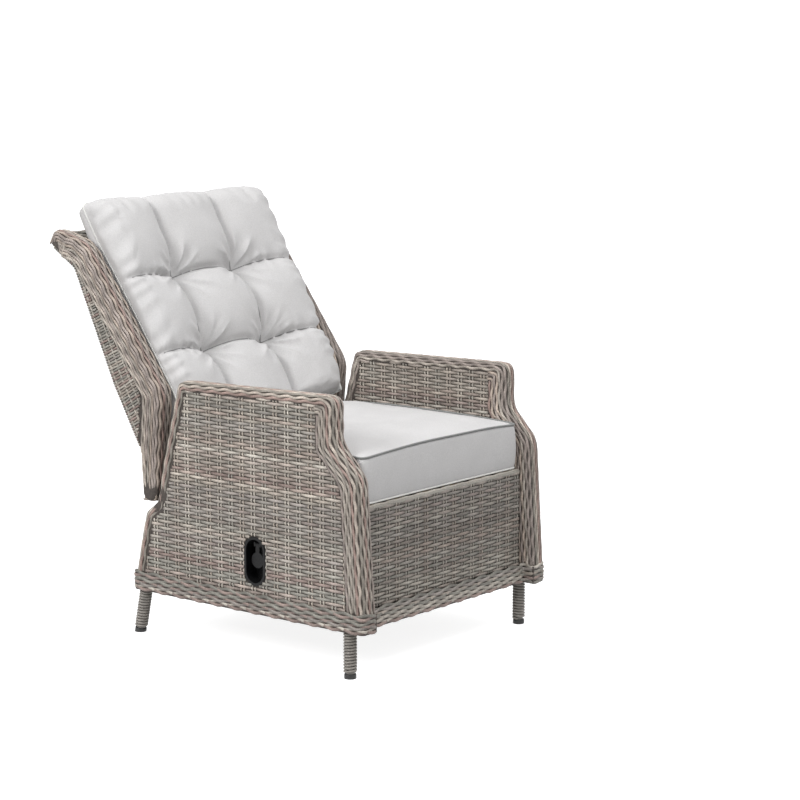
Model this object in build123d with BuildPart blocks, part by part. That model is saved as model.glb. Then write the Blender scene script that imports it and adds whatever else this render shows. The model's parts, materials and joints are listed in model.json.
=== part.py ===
from build123d import *
from math import atan2, cos, degrees, hypot, pi, radians, sin, sqrt
import os

# Reclining wicker garden armchair on an aluminium tube frame, in millimetres.
# +X is the sitter's left, the chair faces -Y, +Z is up, z = 0 is the floor.
# The backrest is drawn where it rests, part way back.

# Side panels, which carry the arms
seat_width = 580.0            # clear width between the two side panels
panel_thickness = 44.0
overall_depth = 966.4         # front face to the lip of the backrest at rest
base_depth = 704.0            # from the front face to the rear foot of a side panel
foot_clearance = 108.0        # floor to the underside of the apron
apron_height = 42.0
apron_proud = 3.0             # how far the apron stands out of the side panel
arm_height = 624.0
arm_fall = 11.0               # the arm's top drops this much towards the back
front_lean = 22.0             # the front edge leans back this much up to the knee
knee_height = 450.0
knee_radius = 60.0
throat_height = 522.0
arm_setback = 90.0            # front end of the arm behind the front face
arm_back = 552.0              # rear end of the arm behind the front face
notch_depth = 628.0
notch_drop = 19.0             # below the hinge axis
heel_depth = 664.0
heel_drop = 49.0              # below the hinge axis
front_rim_width = 48.0
top_rim_width = 21.0
rear_rim_width = 30.0
rim_wall = 5.0
rim_rounding = 12.0
skin_wall = 4.0
skin_recess = 1.5
joint_gap = 0.3               # between woven pieces that lie against each other

# Tube frame
tube_diameter = 20.0
tube_wall = 2.0
front_leg_setback = 58.0
rear_foot_setback = 708.0
rear_leg_rake = 0.21          # run of the rear leg per unit of height
rear_post_rake = 0.27
front_post_bend_height = 440.0
lower_rail_height = 130.0
seat_rail_height = 365.0
arm_tube_drop = 28.0          # arm tube's centre line below the arm's front top
strut_cross_setback = 230.0
strut_cross_height = 235.0
slat_count = 6
slat_width = 40.0
slat_thickness = 6.0

# Leg windings and end caps
strand_diameter = 5.2
winding_turns = 13
glide_diameter = 27.0
glide_height = 11.0
glide_floor = 4.0

# Front and rear panels below the seat
front_apron_setback = 30.0
front_apron_depth = 44.0
front_weave_setback = 40.0
front_weave_rise = 15.0       # above the seat rail's centre line, up to the slats' front ends
rear_apron_depth = 42.0
rear_bar_thickness = 6.0
rear_bar_height = 20.0

# Backrest, drawn from its hinge axis
hinge_setback = 653.0
hinge_height = 345.0
wing_end_radius = 22.0
elbow_forward = 42.0
elbow_height = 236.0
shoulder_back = 202.0
shoulder_height = 566.0
lip_back = 300.0
lip_height = 592.0
lip_tip_back = 318.0
lip_tip_height = 558.0
neck_back = 236.0
neck_height = 507.0
spine_back = 110.0
spine_height = 241.0
waist_back = 22.0
waist_height = 90.0
wing_rim_width = 50.0
wing_rim_foot = 60.0
wing_rim_rise = 60.0
lip_rim_width = 41.0
back_weave_wall = 6.0
back_clearance = 0.5
low_cross_rise = 34.0
cross_spacing = 150.0

# Hinges
hinge_bolt_diameter = 10.0
hinge_bush_diameter = 16.0
hinge_eye_diameter = 28.0
hinge_eye_width = 12.0
hinge_plate_thickness = 5.0
hinge_plate_radius = 14.0
hinge_plate_gap = 1.5
bolt_head_width = 17.0
bolt_head_height = 4.0
running_clearance = 0.05

# Gas strut with its crank below the hinge axis
crank_radius = 100.0
crank_rest_angle = 20.0       # crank's lean towards the front at rest, in degrees
crank_plate_thickness = 5.0
crank_plate_width = 20.0
crank_gap = 16.0
crank_pin_diameter = 10.0
strut_foot_setback = 270.0
strut_foot_height = 238.0
strut_ear_gap = 24.0
strut_ear_thickness = 4.0
strut_ear_radius = 14.0
strut_pin_diameter = 8.0
strut_eye_diameter = 28.0
strut_eye_width = 14.0
open_pivot_clearance = 2.9    # room for the crank's arc in the cylinder's eye
open_pivot_along = 0.6        # eye's centre past the crank pin at rest
open_pivot_up = 1.4
head_length = 40.0
head_width = 22.0
rod_diameter = 10.0
rod_reach = 200.0
cylinder_diameter = 24.0
cylinder_wall = 2.0
cylinder_start = 92.0
piston_length = 12.0
lever_thickness = 4.0
lever_height = 40.0
lever_width = 16.0
lever_pin_diameter = 5.0

# Release handle in the right side panel
handle_setback = 320.0
handle_height = 229.0
cup_width = 64.0
cup_height = 113.0
cup_flange = 4.0
cup_flange_thickness = 2.5
cup_depth = 36.0
cup_wall = 2.5
paddle_diameter = 37.0
paddle_drop = 36.0
paddle_thickness = 5.0
stem_width = 12.0
handle_pin_diameter = 4.0
handle_pin_rise = 37.0
cable_diameter = 6.0
cable_bend = 34.0
ferrule_diameter = 10.0
ferrule_length = 12.0

# Cushions
seat_cushion_gap = 3.0        # each side, to the arm
seat_cushion_length = 570.0
seat_cushion_setback = 45.0
seat_cushion_thickness = 108.0
seat_cushion_crown = 17.0
seat_cushion_draw = 4.0       # how far each side pulls in between its corners
seat_cushion_corner = 20.0
back_cushion_gap = 7.0
back_cushion_lean = 27.0      # lean of the cushion's back face from upright, in degrees
back_cushion_root_back = 87.7
back_cushion_root_rise = 252.4
back_cushion_clearance = 6.1
back_cushion_foot = 136.0     # down from the root to the front lower corner
back_cushion_head = 424.0     # up from the root to the front top corner
back_cushion_foot_edge = 59.0
back_cushion_head_edge = 28.0
back_cushion_foot_crown = 126.0
back_cushion_head_crown = 88.0
back_cushion_end_bulge = 6.0
tuft_side = 105.0
tuft_low = 21.0
tuft_high = 217.0
# across the cushion: place, fullness of its puffs, fullness of its seams
puff_shares = [(0, 1, 0.7), (0.37, 0.78, 0.3), (0.67, 1, 0.68), (0.87, 0.93, 0.62), (0.96, 0.66, 0.42), (1, 0.06, 0)]
# up the seat cushion: height, share of its edge drawn in
pillow_shares = [(0, 0.05), (0.03, 0.028), (0.09, 0.011), (0.5, 0), (0.91, 0.011), (0.97, 0.028), (1, 0.05)]
crown_shares = [(0.3, 0.14), (0.6, 0.28), (0.82, 0.44), (1, 0.68)]

# Worked out from the sizes above
half_inner = seat_width / 2
half_outer = half_inner + panel_thickness
frame_x = half_inner + panel_thickness / 2
tube_radius = tube_diameter / 2
front_y = -overall_depth / 2
apron_top = foot_clearance + apron_height
notch_height = hinge_height - notch_drop
heel_height = hinge_height - heel_drop
overrun = knee_radius
hinge_y = front_y + hinge_setback
front_leg_y = front_y + front_leg_setback
rear_foot_y = front_y + rear_foot_setback
arm_tube_z = arm_height - arm_tube_drop
strut_cross_y = front_y + strut_cross_setback

os.makedirs("parts", exist_ok=True)


def write(builder, name):
    """Label a finished piece and write its file."""
    builder.part.label = name
    export_step(builder.part, f"parts/{name}.step")


def inset(points, widths):
    """A closed outline, run clockwise seen from +X, with edge i moved in by widths[i]."""
    lines = []
    for index, (start, width) in enumerate(zip(points, widths)):
        end = points[(index + 1) % len(points)]
        run, rise = end[0] - start[0], end[1] - start[1]
        length = hypot(run, rise)
        across = (rise / length, -run / length)
        lines.append(((start[0] + across[0] * width, start[1] + across[1] * width), (run, rise)))
    result = []
    for index, (point, way) in enumerate(lines):
        before, before_way = lines[index - 1]
        cross = before_way[0] * way[1] - before_way[1] * way[0]
        reach = ((point[0] - before[0]) * way[1] - (point[1] - before[1]) * way[0]) / cross
        result.append((before[0] + before_way[0] * reach, before[1] + before_way[1] * reach))
    return result


def outline(x, points, radii):
    """A closed outline of (y, z) points with rounded corners, on the plane at this x."""
    with BuildSketch(Plane.YZ.offset(x)) as drawn:
        with BuildLine():
            FilletPolyline(*points, radius=radii, close=True)
        make_face()
    return drawn.sketch


def bar_x(y, z, radius, bore=0.0, near=0.0, far=0.0):
    """A round bar or tube along X through (y, z), from x = near to x = far."""
    with BuildPart() as piece:
        with BuildSketch(Plane.YZ.offset(near)):
            with Locations((y, z)):
                Circle(radius)
                if bore:
                    Circle(bore, mode=Mode.SUBTRACT)
        extrude(amount=far - near)
    return piece.part


def route_tube(points, radii=()):
    """A frame tube along a route of points, with a rounded bend at each inner one."""
    with BuildPart() as piece:
        with BuildLine() as route:
            if radii:
                FilletPolyline(*points, radius=radii)
            else:
                Line(*points)
        with BuildSketch(Plane(route.line @ 0, z_dir=route.line % 0)):
            Circle(tube_radius)
            Circle(tube_radius - tube_wall, mode=Mode.SUBTRACT)
        sweep()
    return piece.part


def write_both(shape, name):
    """Write a piece drawn on the sitter's right, with its twin, as one node of two solids."""
    with BuildPart() as both:
        add(shape)
        mirror(shape, about=Plane.YZ)
    write(both, name)


def write_sides(shape, name):
    """Write a piece drawn on the sitter's right, and its twin, as two nodes."""
    with BuildPart() as right:
        add(shape)
    write(right, "right_" + name)
    with BuildPart() as left:
        mirror(shape, about=Plane.YZ)
    write(left, "left_" + name)


# Side panel: outline, woven field inside its rims, and hollow
panel_points = [
    (front_y, foot_clearance),
    (front_y + front_lean, knee_height),
    (front_y + arm_setback, throat_height),
    (front_y + arm_setback, arm_height),
    (front_y + arm_back, arm_height - arm_fall),
    (front_y + notch_depth, notch_height),
    (front_y + heel_depth, heel_height),
    (front_y + base_depth, foot_clearance),
]
panel_radii = [
    0,
    knee_radius,
    knee_radius,
    top_rim_width + rim_wall,
    top_rim_width,
    rim_rounding,
    top_rim_width,
    0,
]
field_widths = [
    front_rim_width,
    front_rim_width,
    front_rim_width,
    top_rim_width,
    rear_rim_width,
    rear_rim_width,
    rear_rim_width,
    apron_height,
]
field_points = inset(panel_points, field_widths)
field_radii = [0, knee_radius / 2, knee_radius / 2, rim_wall, rim_wall, 0, rim_wall, 0]
skin_points = inset(panel_points, [width + joint_gap for width in field_widths])
hollow_points = inset(panel_points, [rim_wall] * len(panel_points))
hollow_radii = [0] * len(panel_points)

# Where the frame's tubes cross, seen from the side
rear_leg_y = rear_foot_y - rear_leg_rake * lower_rail_height
post_top_z = arm_tube_z - tube_radius - joint_gap
post_lean = atan2(rear_post_rake, 1)
rear_post_top_y = front_y + arm_back - tube_radius - rim_wall - joint_gap
rear_rail_y = rear_post_top_y + rear_post_rake * (post_top_z - seat_rail_height)
rail_end_x = frame_x - tube_radius - joint_gap
post_foot_z = lower_rail_height + tube_radius + joint_gap
hole_radius = tube_radius + back_clearance
rear_leg_top = heel_height - tube_diameter
cable_z = strut_foot_height + strut_ear_radius + strut_ear_gap / 2
handle_y = front_y + handle_setback
rail_places = [
    (front_leg_y, lower_rail_height),
    (rear_leg_y, lower_rail_height),
    (front_leg_y, seat_rail_height),
    (rear_rail_y, seat_rail_height),
    (strut_cross_y, strut_cross_height),
]

with BuildPart() as panel_rims:
    extrude(outline(-half_outer, panel_points, panel_radii), amount=panel_thickness)
    rim_edges = panel_rims.faces().filter_by(Axis.X).edges().filter_by(lambda e: e.center().Z > apron_top)
    fillet(rim_edges, rim_rounding)
    extrude(outline(-half_outer, field_points, field_radii), amount=panel_thickness, mode=Mode.SUBTRACT)
    extrude(
        outline(-half_outer + rim_wall, hollow_points, hollow_radii),
        amount=panel_thickness - 2 * rim_wall,
        mode=Mode.SUBTRACT,
    )
    for place in rail_places:
        add(bar_x(*place, hole_radius, near=-frame_x, far=-half_inner + overrun), mode=Mode.SUBTRACT)


def rim_piece(low_y, high_y, low_z, high_z):
    """The part of the right-hand rims inside this window of the side view."""
    with BuildPart() as piece:
        add(panel_rims.part)
        with BuildSketch(Plane.YZ.offset(-half_outer - overrun)):
            with Locations(((low_y + high_y) / 2, (low_z + high_z) / 2)):
                Rectangle(high_y - low_y, high_z - low_z)
        extrude(amount=panel_thickness + 2 * overrun, mode=Mode.INTERSECT)
    return piece.part


rim_front_y = field_points[3][0]
rim_back_y = field_points[4][0]
panel_middle_y = (rim_front_y + rim_back_y) / 2
above_arm = arm_height + overrun
rim_foot = apron_top + joint_gap
write_both(rim_piece(front_y - overrun, rim_front_y, rim_foot, above_arm), "front_rims")
write_both(rim_piece(rim_front_y + joint_gap, rim_back_y - joint_gap, throat_height, above_arm), "arm_top_rims")
write_both(rim_piece(rim_back_y, front_y + base_depth, notch_height, above_arm), "rear_rims")
write_both(
    rim_piece(panel_middle_y, front_y + base_depth, rim_foot, notch_height - joint_gap),
    "heel_rims",
)


def skin(x, holes):
    """A woven skin over the field of the side panel, with round holes through it."""
    with BuildPart() as piece:
        extrude(outline(x, skin_points, field_radii), amount=skin_wall)
        for place, radius in holes:
            add(bar_x(*place, radius, near=x - overrun, far=x + overrun), mode=Mode.SUBTRACT)
    return piece


outer_skin_x = -half_outer + skin_recess
inner_skin_x = -half_inner - skin_recess - skin_wall
rail_holes = [(place, hole_radius) for place in rail_places]
cable_hole = ((handle_y, cable_z), ferrule_diameter / 2 + joint_gap)

with BuildPart() as right_outer_skin:
    add(skin(outer_skin_x, []).part)
    with BuildSketch(Plane.YZ.offset(outer_skin_x)):
        with Locations((handle_y, handle_height)):
            SlotOverall(
                cup_height - 2 * cup_flange + 2 * joint_gap,
                cup_width - 2 * cup_flange + 2 * joint_gap,
                rotation=90,
            )
    extrude(amount=skin_wall, mode=Mode.SUBTRACT)
write(right_outer_skin, "right_outer_weave")
write(skin(inner_skin_x, rail_holes + [cable_hole]), "right_inner_weave")
write(skin(-outer_skin_x - skin_wall, []), "left_outer_weave")
write(skin(-inner_skin_x - skin_wall, rail_holes), "left_inner_weave")

# Apron: an open-topped plaited band round the foot of the base
with BuildPart() as side_apron:
    with BuildSketch(Plane.XY.offset(foot_clearance)):
        with Locations((-frame_x - apron_proud / 2, front_y + base_depth / 2)):
            Rectangle(panel_thickness + apron_proud, base_depth)
    extrude(amount=apron_height)
    fillet(side_apron.edges().filter_by(Axis.Z).group_by(Axis.X)[0], rim_rounding)
    fillet(side_apron.faces().sort_by(Axis.Z)[0].edges(), rim_wall / 2)
    with BuildSketch(Plane.XY.offset(foot_clearance + rim_wall)):
        with Locations((-frame_x - apron_proud / 2, front_y + base_depth / 2)):
            Rectangle(panel_thickness + apron_proud - 2 * rim_wall, base_depth - 2 * rim_wall)
    extrude(amount=apron_height, mode=Mode.SUBTRACT)
    with BuildSketch(Plane.XY):
        with Locations((-frame_x, front_leg_y)):
            Circle(hole_radius)
        with Locations((-frame_x, rear_foot_y - rear_leg_rake * foot_clearance)):
            SlotOverall(2 * hole_radius + rim_wall, 2 * hole_radius, rotation=90)
    extrude(amount=foot_clearance + rim_wall, mode=Mode.SUBTRACT)
    for place in rail_places[:2]:
        add(bar_x(*place, hole_radius, near=-frame_x, far=-half_inner + overrun), mode=Mode.SUBTRACT)
write_sides(side_apron.part, "apron")


def cross_apron(front_face, depth):
    """The band between the side panels, its front face this far behind the front."""
    with BuildPart() as piece:
        with BuildSketch(Plane.XY.offset(foot_clearance)):
            with Locations((0, front_y + front_face + depth / 2)):
                Rectangle(seat_width - 2 * joint_gap, depth)
        extrude(amount=apron_height)
        fillet(piece.faces().sort_by(Axis.Z)[0].edges().filter_by(Axis.X), rim_wall / 2)
        with BuildSketch(Plane.XY.offset(foot_clearance + rim_wall)):
            with Locations((0, front_y + front_face + depth / 2)):
                Rectangle(seat_width, depth - 2 * rim_wall)
        extrude(amount=apron_height, mode=Mode.SUBTRACT)
    return piece


write(cross_apron(front_apron_setback, front_apron_depth), "front_apron")
write(cross_apron(base_depth - rear_apron_depth, rear_apron_depth), "rear_apron")

# Woven panels below the seat, between the side panels
panel_half = half_inner - joint_gap
with BuildPart() as front_weave:
    with BuildSketch(Plane.XY.offset(rim_foot)):
        with Locations((0, front_y + front_weave_setback + skin_wall / 2)):
            Rectangle(2 * panel_half, skin_wall)
    extrude(amount=seat_rail_height + front_weave_rise - rim_foot)
write(front_weave, "front_weave")

heel_run = (base_depth - heel_depth) / (heel_height - foot_clearance)


def heel_y(z, depth):
    """A point at this height, this far inside the base's sloping rear face."""
    return front_y + base_depth - heel_run * (z - foot_clearance) - depth


rear_weave_top = heel_height - rim_wall
with BuildPart() as rear_weave:
    rear_weave_points = [
        (heel_y(rim_foot, skin_wall), rim_foot),
        (heel_y(rear_weave_top, skin_wall), rear_weave_top),
        (heel_y(rear_weave_top, 0), rear_weave_top),
        (heel_y(rim_foot, 0), rim_foot),
    ]
    extrude(outline(-panel_half, rear_weave_points, [0] * len(rear_weave_points)), amount=2 * panel_half)
write(rear_weave, "rear_weave")

with BuildPart() as rear_bar:
    bar_low = rear_weave_top - rear_bar_height
    rear_bar_points = [
        (heel_y(bar_low, skin_wall + joint_gap + rear_bar_thickness), bar_low),
        (heel_y(rear_weave_top, skin_wall + joint_gap + rear_bar_thickness), rear_weave_top),
        (heel_y(rear_weave_top, skin_wall + joint_gap), rear_weave_top),
        (heel_y(bar_low, skin_wall + joint_gap), bar_low),
    ]
    extrude(outline(-panel_half, rear_bar_points, [0] * len(rear_bar_points)), amount=2 * panel_half)
write(rear_bar, "rear_top_bar")

# Tube frame
front_post_top_y = front_y + arm_setback + tube_radius + 3 * rim_wall
front_post_points = [
    (-frame_x, front_leg_y, glide_floor),
    (-frame_x, front_leg_y, front_post_bend_height),
    (-frame_x, front_post_top_y, throat_height),
    (-frame_x, front_post_top_y, post_top_z),
]
write_both(route_tube(front_post_points, [2 * tube_diameter] * 2), "front_posts")
post_tilt = tube_radius * sin(post_lean)
rear_post_low_z = post_foot_z + post_tilt
rear_post_points = [
    (-frame_x, rear_post_top_y + rear_post_rake * (post_top_z - rear_post_low_z), rear_post_low_z),
    (-frame_x, rear_post_top_y + rear_post_rake * post_tilt, post_top_z - post_tilt),
]
write_both(route_tube(rear_post_points), "rear_posts")
rear_leg_points = [
    (-frame_x, rear_foot_y - rear_leg_rake * glide_floor, glide_floor),
    (-frame_x, rear_foot_y - rear_leg_rake * rear_leg_top, rear_leg_top),
]
write_both(route_tube(rear_leg_points), "rear_legs")
arm_tube_points = [
    (-frame_x, front_post_top_y - tube_radius, arm_tube_z),
    (-frame_x, rear_post_top_y + tube_radius, arm_tube_z),
]
write_both(route_tube(arm_tube_points), "arm_tubes")
leg_face = tube_radius * (sqrt(1 + rear_leg_rake**2) + rear_leg_rake)
base_tube_points = [
    (-frame_x, front_leg_y + tube_radius + joint_gap, lower_rail_height),
    (-frame_x, rear_leg_y - leg_face - joint_gap, lower_rail_height),
]
write_both(route_tube(base_tube_points), "base_tubes")
mid_post_points = [(-frame_x, strut_cross_y, post_foot_z), (-frame_x, strut_cross_y, post_top_z)]
write_both(route_tube(mid_post_points), "mid_posts")


def rail(place):
    """A cross tube between the two sides of the frame."""
    y, z = place
    return route_tube([(-rail_end_x, y, z), (rail_end_x, y, z)])


with BuildPart() as lower_rails:
    for place in rail_places[:2]:
        add(rail(place))
write(lower_rails, "lower_rails")
with BuildPart() as seat_rails:
    for place in rail_places[2:4]:
        add(rail(place))
write(seat_rails, "seat_rails")
with BuildPart() as strut_cross_tube:
    add(rail(rail_places[4]))
write(strut_cross_tube, "strut_cross_tube")

slat_z = seat_rail_height + tube_radius + joint_gap
slat_spread = seat_width - 2 * slat_width
with BuildPart() as seat_slats:
    with BuildSketch(Plane.XY.offset(slat_z)):
        for index in range(slat_count):
            slat_x = -slat_spread / 2 + slat_spread * index / (slat_count - 1)
            with Locations((slat_x, (front_leg_y + rear_rail_y) / 2)):
                Rectangle(slat_width, rear_rail_y - front_leg_y + tube_diameter)
    extrude(amount=slat_thickness)
write(seat_slats, "seat_slats")
deck_z = slat_z + slat_thickness

# Legs: end caps and the strand wound round each leg
front_leg_axis = Axis((-frame_x, front_leg_y, 0), (0, 0, 1))
rear_leg_axis = Axis((-frame_x, rear_foot_y, 0), (0, -rear_leg_rake, 1))


def glide(leg):
    """An end cap over the foot of a leg, flat on the floor."""
    along = Plane(leg.position, x_dir=(1, 0, 0), z_dir=leg.direction)
    with BuildPart() as piece:
        with BuildSketch(along.offset(-glide_floor)):
            Circle(glide_diameter / 2)
        extrude(amount=glide_floor + glide_height)
        fillet(piece.edges().sort_by(Axis.Z)[-1], rim_wall / 2)
        with BuildSketch(along.offset(glide_floor * sqrt(1 + leg_slope(leg) ** 2))):
            Circle(tube_radius + running_clearance)
        extrude(amount=glide_height, mode=Mode.SUBTRACT)
        with BuildSketch(Plane.XY):
            with Locations((leg.position.X, leg.position.Y)):
                Rectangle(2 * glide_diameter, 2 * glide_diameter)
        extrude(amount=-glide_height, mode=Mode.SUBTRACT)
    return piece.part


def leg_slope(leg):
    """Run of a leg's axis per unit of height."""
    return -leg.direction.Y / leg.direction.Z


with BuildPart() as leg_glides:
    for leg in (front_leg_axis, rear_leg_axis):
        one_glide = glide(leg)
        add(one_glide)
        mirror(one_glide, about=Plane.YZ)
write(leg_glides, "leg_glides")

winding_radius = tube_radius + strand_diameter / 2 + running_clearance
winding_start = glide_height + strand_diameter / 2 + joint_gap
rake_cosine = 1 / sqrt(1 + rear_leg_rake**2)
winding_head = foot_clearance - strand_diameter / 2 - winding_radius * rear_leg_rake * rake_cosine
winding_pitch = (winding_head / rake_cosine - 2 * joint_gap - winding_start) / winding_turns


def winding_state(leg, turns):
    """Point and tangent of the winding's centre line after this many turns."""
    along = Plane(leg.position, x_dir=(1, 0, 0), z_dir=leg.direction)
    angle = 2 * pi * turns
    point = along.from_local_coords(
        (winding_radius * cos(angle), winding_radius * sin(angle), winding_start + winding_pitch * turns)
    )
    rise = winding_pitch / (2 * pi)
    way = (-winding_radius * sin(angle), winding_radius * cos(angle), rise)
    tangent = along.from_local_coords(way) - along.origin
    return point, tangent.normalized()


def biarc(start, start_way, end, end_way):
    """Two arcs that run smoothly from one point and direction to another."""
    chord = end - start
    both = start_way + end_way
    bend = 2 * (1 - start_way.dot(end_way))
    reach = (sqrt(chord.dot(both) ** 2 + bend * chord.dot(chord)) - chord.dot(both)) / bend
    left = start + start_way * reach
    right = end - end_way * reach
    middle = (left + right) * 0.5
    middle_way = (right - left).normalized()
    return [
        Edge.make_tangent_arc(start, start_way, middle),
        Edge.make_tangent_arc(middle, middle_way, end),
    ]


def winding(leg):
    """One strand wound round a leg, with a straight end of one diameter."""
    edges = []
    steps = 2 * winding_turns
    point, way = winding_state(leg, 0)
    edges.append(Edge.make_line(point - way * strand_diameter, point))
    for step in range(steps):
        next_point, next_way = winding_state(leg, (step + 1) / 2)
        edges.extend(biarc(point, way, next_point, next_way))
        point, way = next_point, next_way
    edges.append(Edge.make_line(point, point + way * strand_diameter))
    with BuildPart() as piece:
        with BuildLine() as route:
            add(edges)
        with BuildSketch(Plane(route.line @ 0, z_dir=route.line % 0)):
            Circle(strand_diameter / 2)
        sweep()
    return piece.part


winding_points = [winding_state(front_leg_axis, index / 12)[0] for index in range(12 * winding_turns + 1)]
winding_gap = min(
    (first - second).length
    for low, first in enumerate(winding_points)
    for second in winding_points[low + 7 :]
)
print(f"least gap between the winding's turns {winding_gap - strand_diameter:.2f} mm")

with BuildPart() as leg_windings:
    for leg in (front_leg_axis, rear_leg_axis):
        one_winding = winding(leg)
        add(one_winding)
        mirror(one_winding, about=Plane.YZ)
write(leg_windings, "leg_windings")

# Backrest outline: a wing, its woven field inside its rim, and its hollow
waist_y = hinge_y + waist_back
wing_foot_z = hinge_height - wing_end_radius
wing_points = [
    (hinge_y - wing_end_radius, wing_foot_z),
    (hinge_y - elbow_forward, hinge_height + elbow_height),
    (hinge_y + shoulder_back, hinge_height + shoulder_height),
    (hinge_y + lip_back, hinge_height + lip_height),
    (hinge_y + lip_tip_back, hinge_height + lip_tip_height),
    (hinge_y + neck_back, hinge_height + neck_height),
    (hinge_y + spine_back, hinge_height + spine_height),
    (waist_y, hinge_height + waist_height),
    (waist_y, wing_foot_z),
]
wing_radii = [
    wing_end_radius - joint_gap,
    knee_radius,
    1.5 * knee_radius,
    1.3 * rim_rounding,
    1.2 * rim_rounding,
    wing_rim_width / 2,
    2 * knee_radius,
    knee_radius,
    wing_end_radius - joint_gap,
]
wing_hollow_points = inset(wing_points, [rim_wall] * len(wing_points))
wing_hollow_radii = [max(radius - rim_wall, rim_wall) for radius in wing_radii]
wing_field_points = inset(
    wing_points,
    [
        wing_rim_foot,
        wing_rim_width,
        lip_rim_width,
        0,
        -overrun / 3,
        -overrun / 3,
        -overrun / 3,
        -overrun / 3,
        wing_end_radius + wing_rim_rise,
    ],
)
wing_field_radii = [rim_wall, wing_rim_width / 2] + [0] * (len(wing_points) - 2)

# Route of the backrest's tubes: beside the woven back, all the way up
spine_offset = back_weave_wall + back_clearance + tube_radius
spine_route = inset(wing_points, [spine_offset] * len(wing_points))
lip_bar_inset = tube_radius + rim_wall + skin_wall
lip_bar = inset(wing_points, [lip_bar_inset] * len(wing_points))[4]
waist_point, bend_point, neck_point = spine_route[7], spine_route[6], spine_route[5]
low_cross = (waist_point[0], hinge_height + low_cross_rise)
bend_run = (neck_point[0] - bend_point[0], neck_point[1] - bend_point[1])
bend_length = hypot(*bend_run)
middle_cross = (
    bend_point[0] + bend_run[0] * cross_spacing / bend_length,
    bend_point[1] + bend_run[1] * cross_spacing / bend_length,
)
cross_places = [low_cross, bend_point, middle_cross, lip_bar]
hinge_place = (hinge_y, hinge_height)
bush_radius = hinge_bush_diameter / 2

with BuildPart() as wing_shell:
    extrude(outline(-half_outer, wing_points, wing_radii), amount=panel_thickness)
    fillet(wing_shell.faces().filter_by(Axis.X).edges(), rim_rounding)
    extrude(
        outline(-half_outer + rim_wall, wing_hollow_points, wing_hollow_radii),
        amount=panel_thickness - 2 * rim_wall,
        mode=Mode.SUBTRACT,
    )
    for place in cross_places:
        add(bar_x(*place, hole_radius, near=-frame_x, far=-half_inner + overrun), mode=Mode.SUBTRACT)
    add(
        bar_x(*hinge_place, bush_radius + back_clearance, near=-frame_x, far=-half_inner + overrun),
        mode=Mode.SUBTRACT,
    )

wing_gap_points = inset(wing_field_points, [joint_gap] * len(wing_field_points))
with BuildPart() as wing_rim:
    add(wing_shell.part)
    extrude(outline(-half_outer, wing_field_points, wing_field_radii), amount=panel_thickness, mode=Mode.SUBTRACT)
with BuildPart() as wing_weave:
    add(wing_shell.part)
    extrude(outline(-half_outer, wing_gap_points, wing_field_radii), amount=panel_thickness, mode=Mode.INTERSECT)
write_sides(wing_rim.part, "wing_rim")
write_sides(wing_weave.part, "wing_weave")

# Woven back between the wings, its rolled top rim and its bottom rim
top_rim_radius = lip_bar_inset
bottom_rim_radius = tube_radius - tube_wall
bottom_rim_place = (waist_y - bottom_rim_radius, hinge_height - tube_wall)
bottom_rim_half = panel_half - hinge_plate_gap - hinge_plate_thickness - bolt_head_height - tube_wall
back_foot_z = bottom_rim_place[1] + bottom_rim_radius + joint_gap
lip_run = (wing_points[4][0] - wing_points[5][0], wing_points[4][1] - wing_points[5][1])
lip_length = hypot(*lip_run)
lip_under = (lip_run[1] / lip_length * overrun, -lip_run[0] / lip_length * overrun)
under_lip_bar = (lip_bar[0] + lip_under[0], lip_bar[1] + lip_under[1])
back_front_points = [
    (waist_point[0], wing_foot_z - overrun),
    (wing_points[1][0] - overrun, wing_foot_z - overrun),
    (wing_points[1][0] - overrun, wing_points[3][1] + overrun),
    (wing_points[4][0] + 2 * overrun, wing_points[3][1] + overrun),
    under_lip_bar,
    lip_bar,
    neck_point,
    bend_point,
    waist_point,
]
with BuildPart() as back_weave:
    extrude(outline(-panel_half, wing_points, wing_radii), amount=2 * panel_half)
    extrude(
        outline(
            -panel_half,
            inset(wing_points, [back_weave_wall] * len(wing_points)),
            [max(radius - back_weave_wall, back_weave_wall) for radius in wing_radii],
        ),
        amount=2 * panel_half,
        mode=Mode.SUBTRACT,
    )
    extrude(
        outline(-panel_half, back_front_points, [0] * len(back_front_points)),
        amount=2 * panel_half,
        mode=Mode.SUBTRACT,
    )
    with BuildSketch(Plane.XY.offset(back_foot_z)):
        with Locations((0, hinge_y)):
            Rectangle(seat_width, 2 * overrun)
    extrude(amount=-overrun, mode=Mode.SUBTRACT)
    add(
        bar_x(*lip_bar, top_rim_radius + joint_gap, near=-half_inner, far=half_inner),
        mode=Mode.SUBTRACT,
    )
write(back_weave, "back_weave")
with BuildPart() as top_rim:
    add(bar_x(*lip_bar, top_rim_radius, tube_radius + joint_gap, -panel_half, panel_half))
write(top_rim, "top_rim")
with BuildPart() as bottom_rim:
    add(bar_x(*bottom_rim_place, bottom_rim_radius, near=-bottom_rim_half, far=bottom_rim_half))
write(bottom_rim, "bottom_rim")

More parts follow.
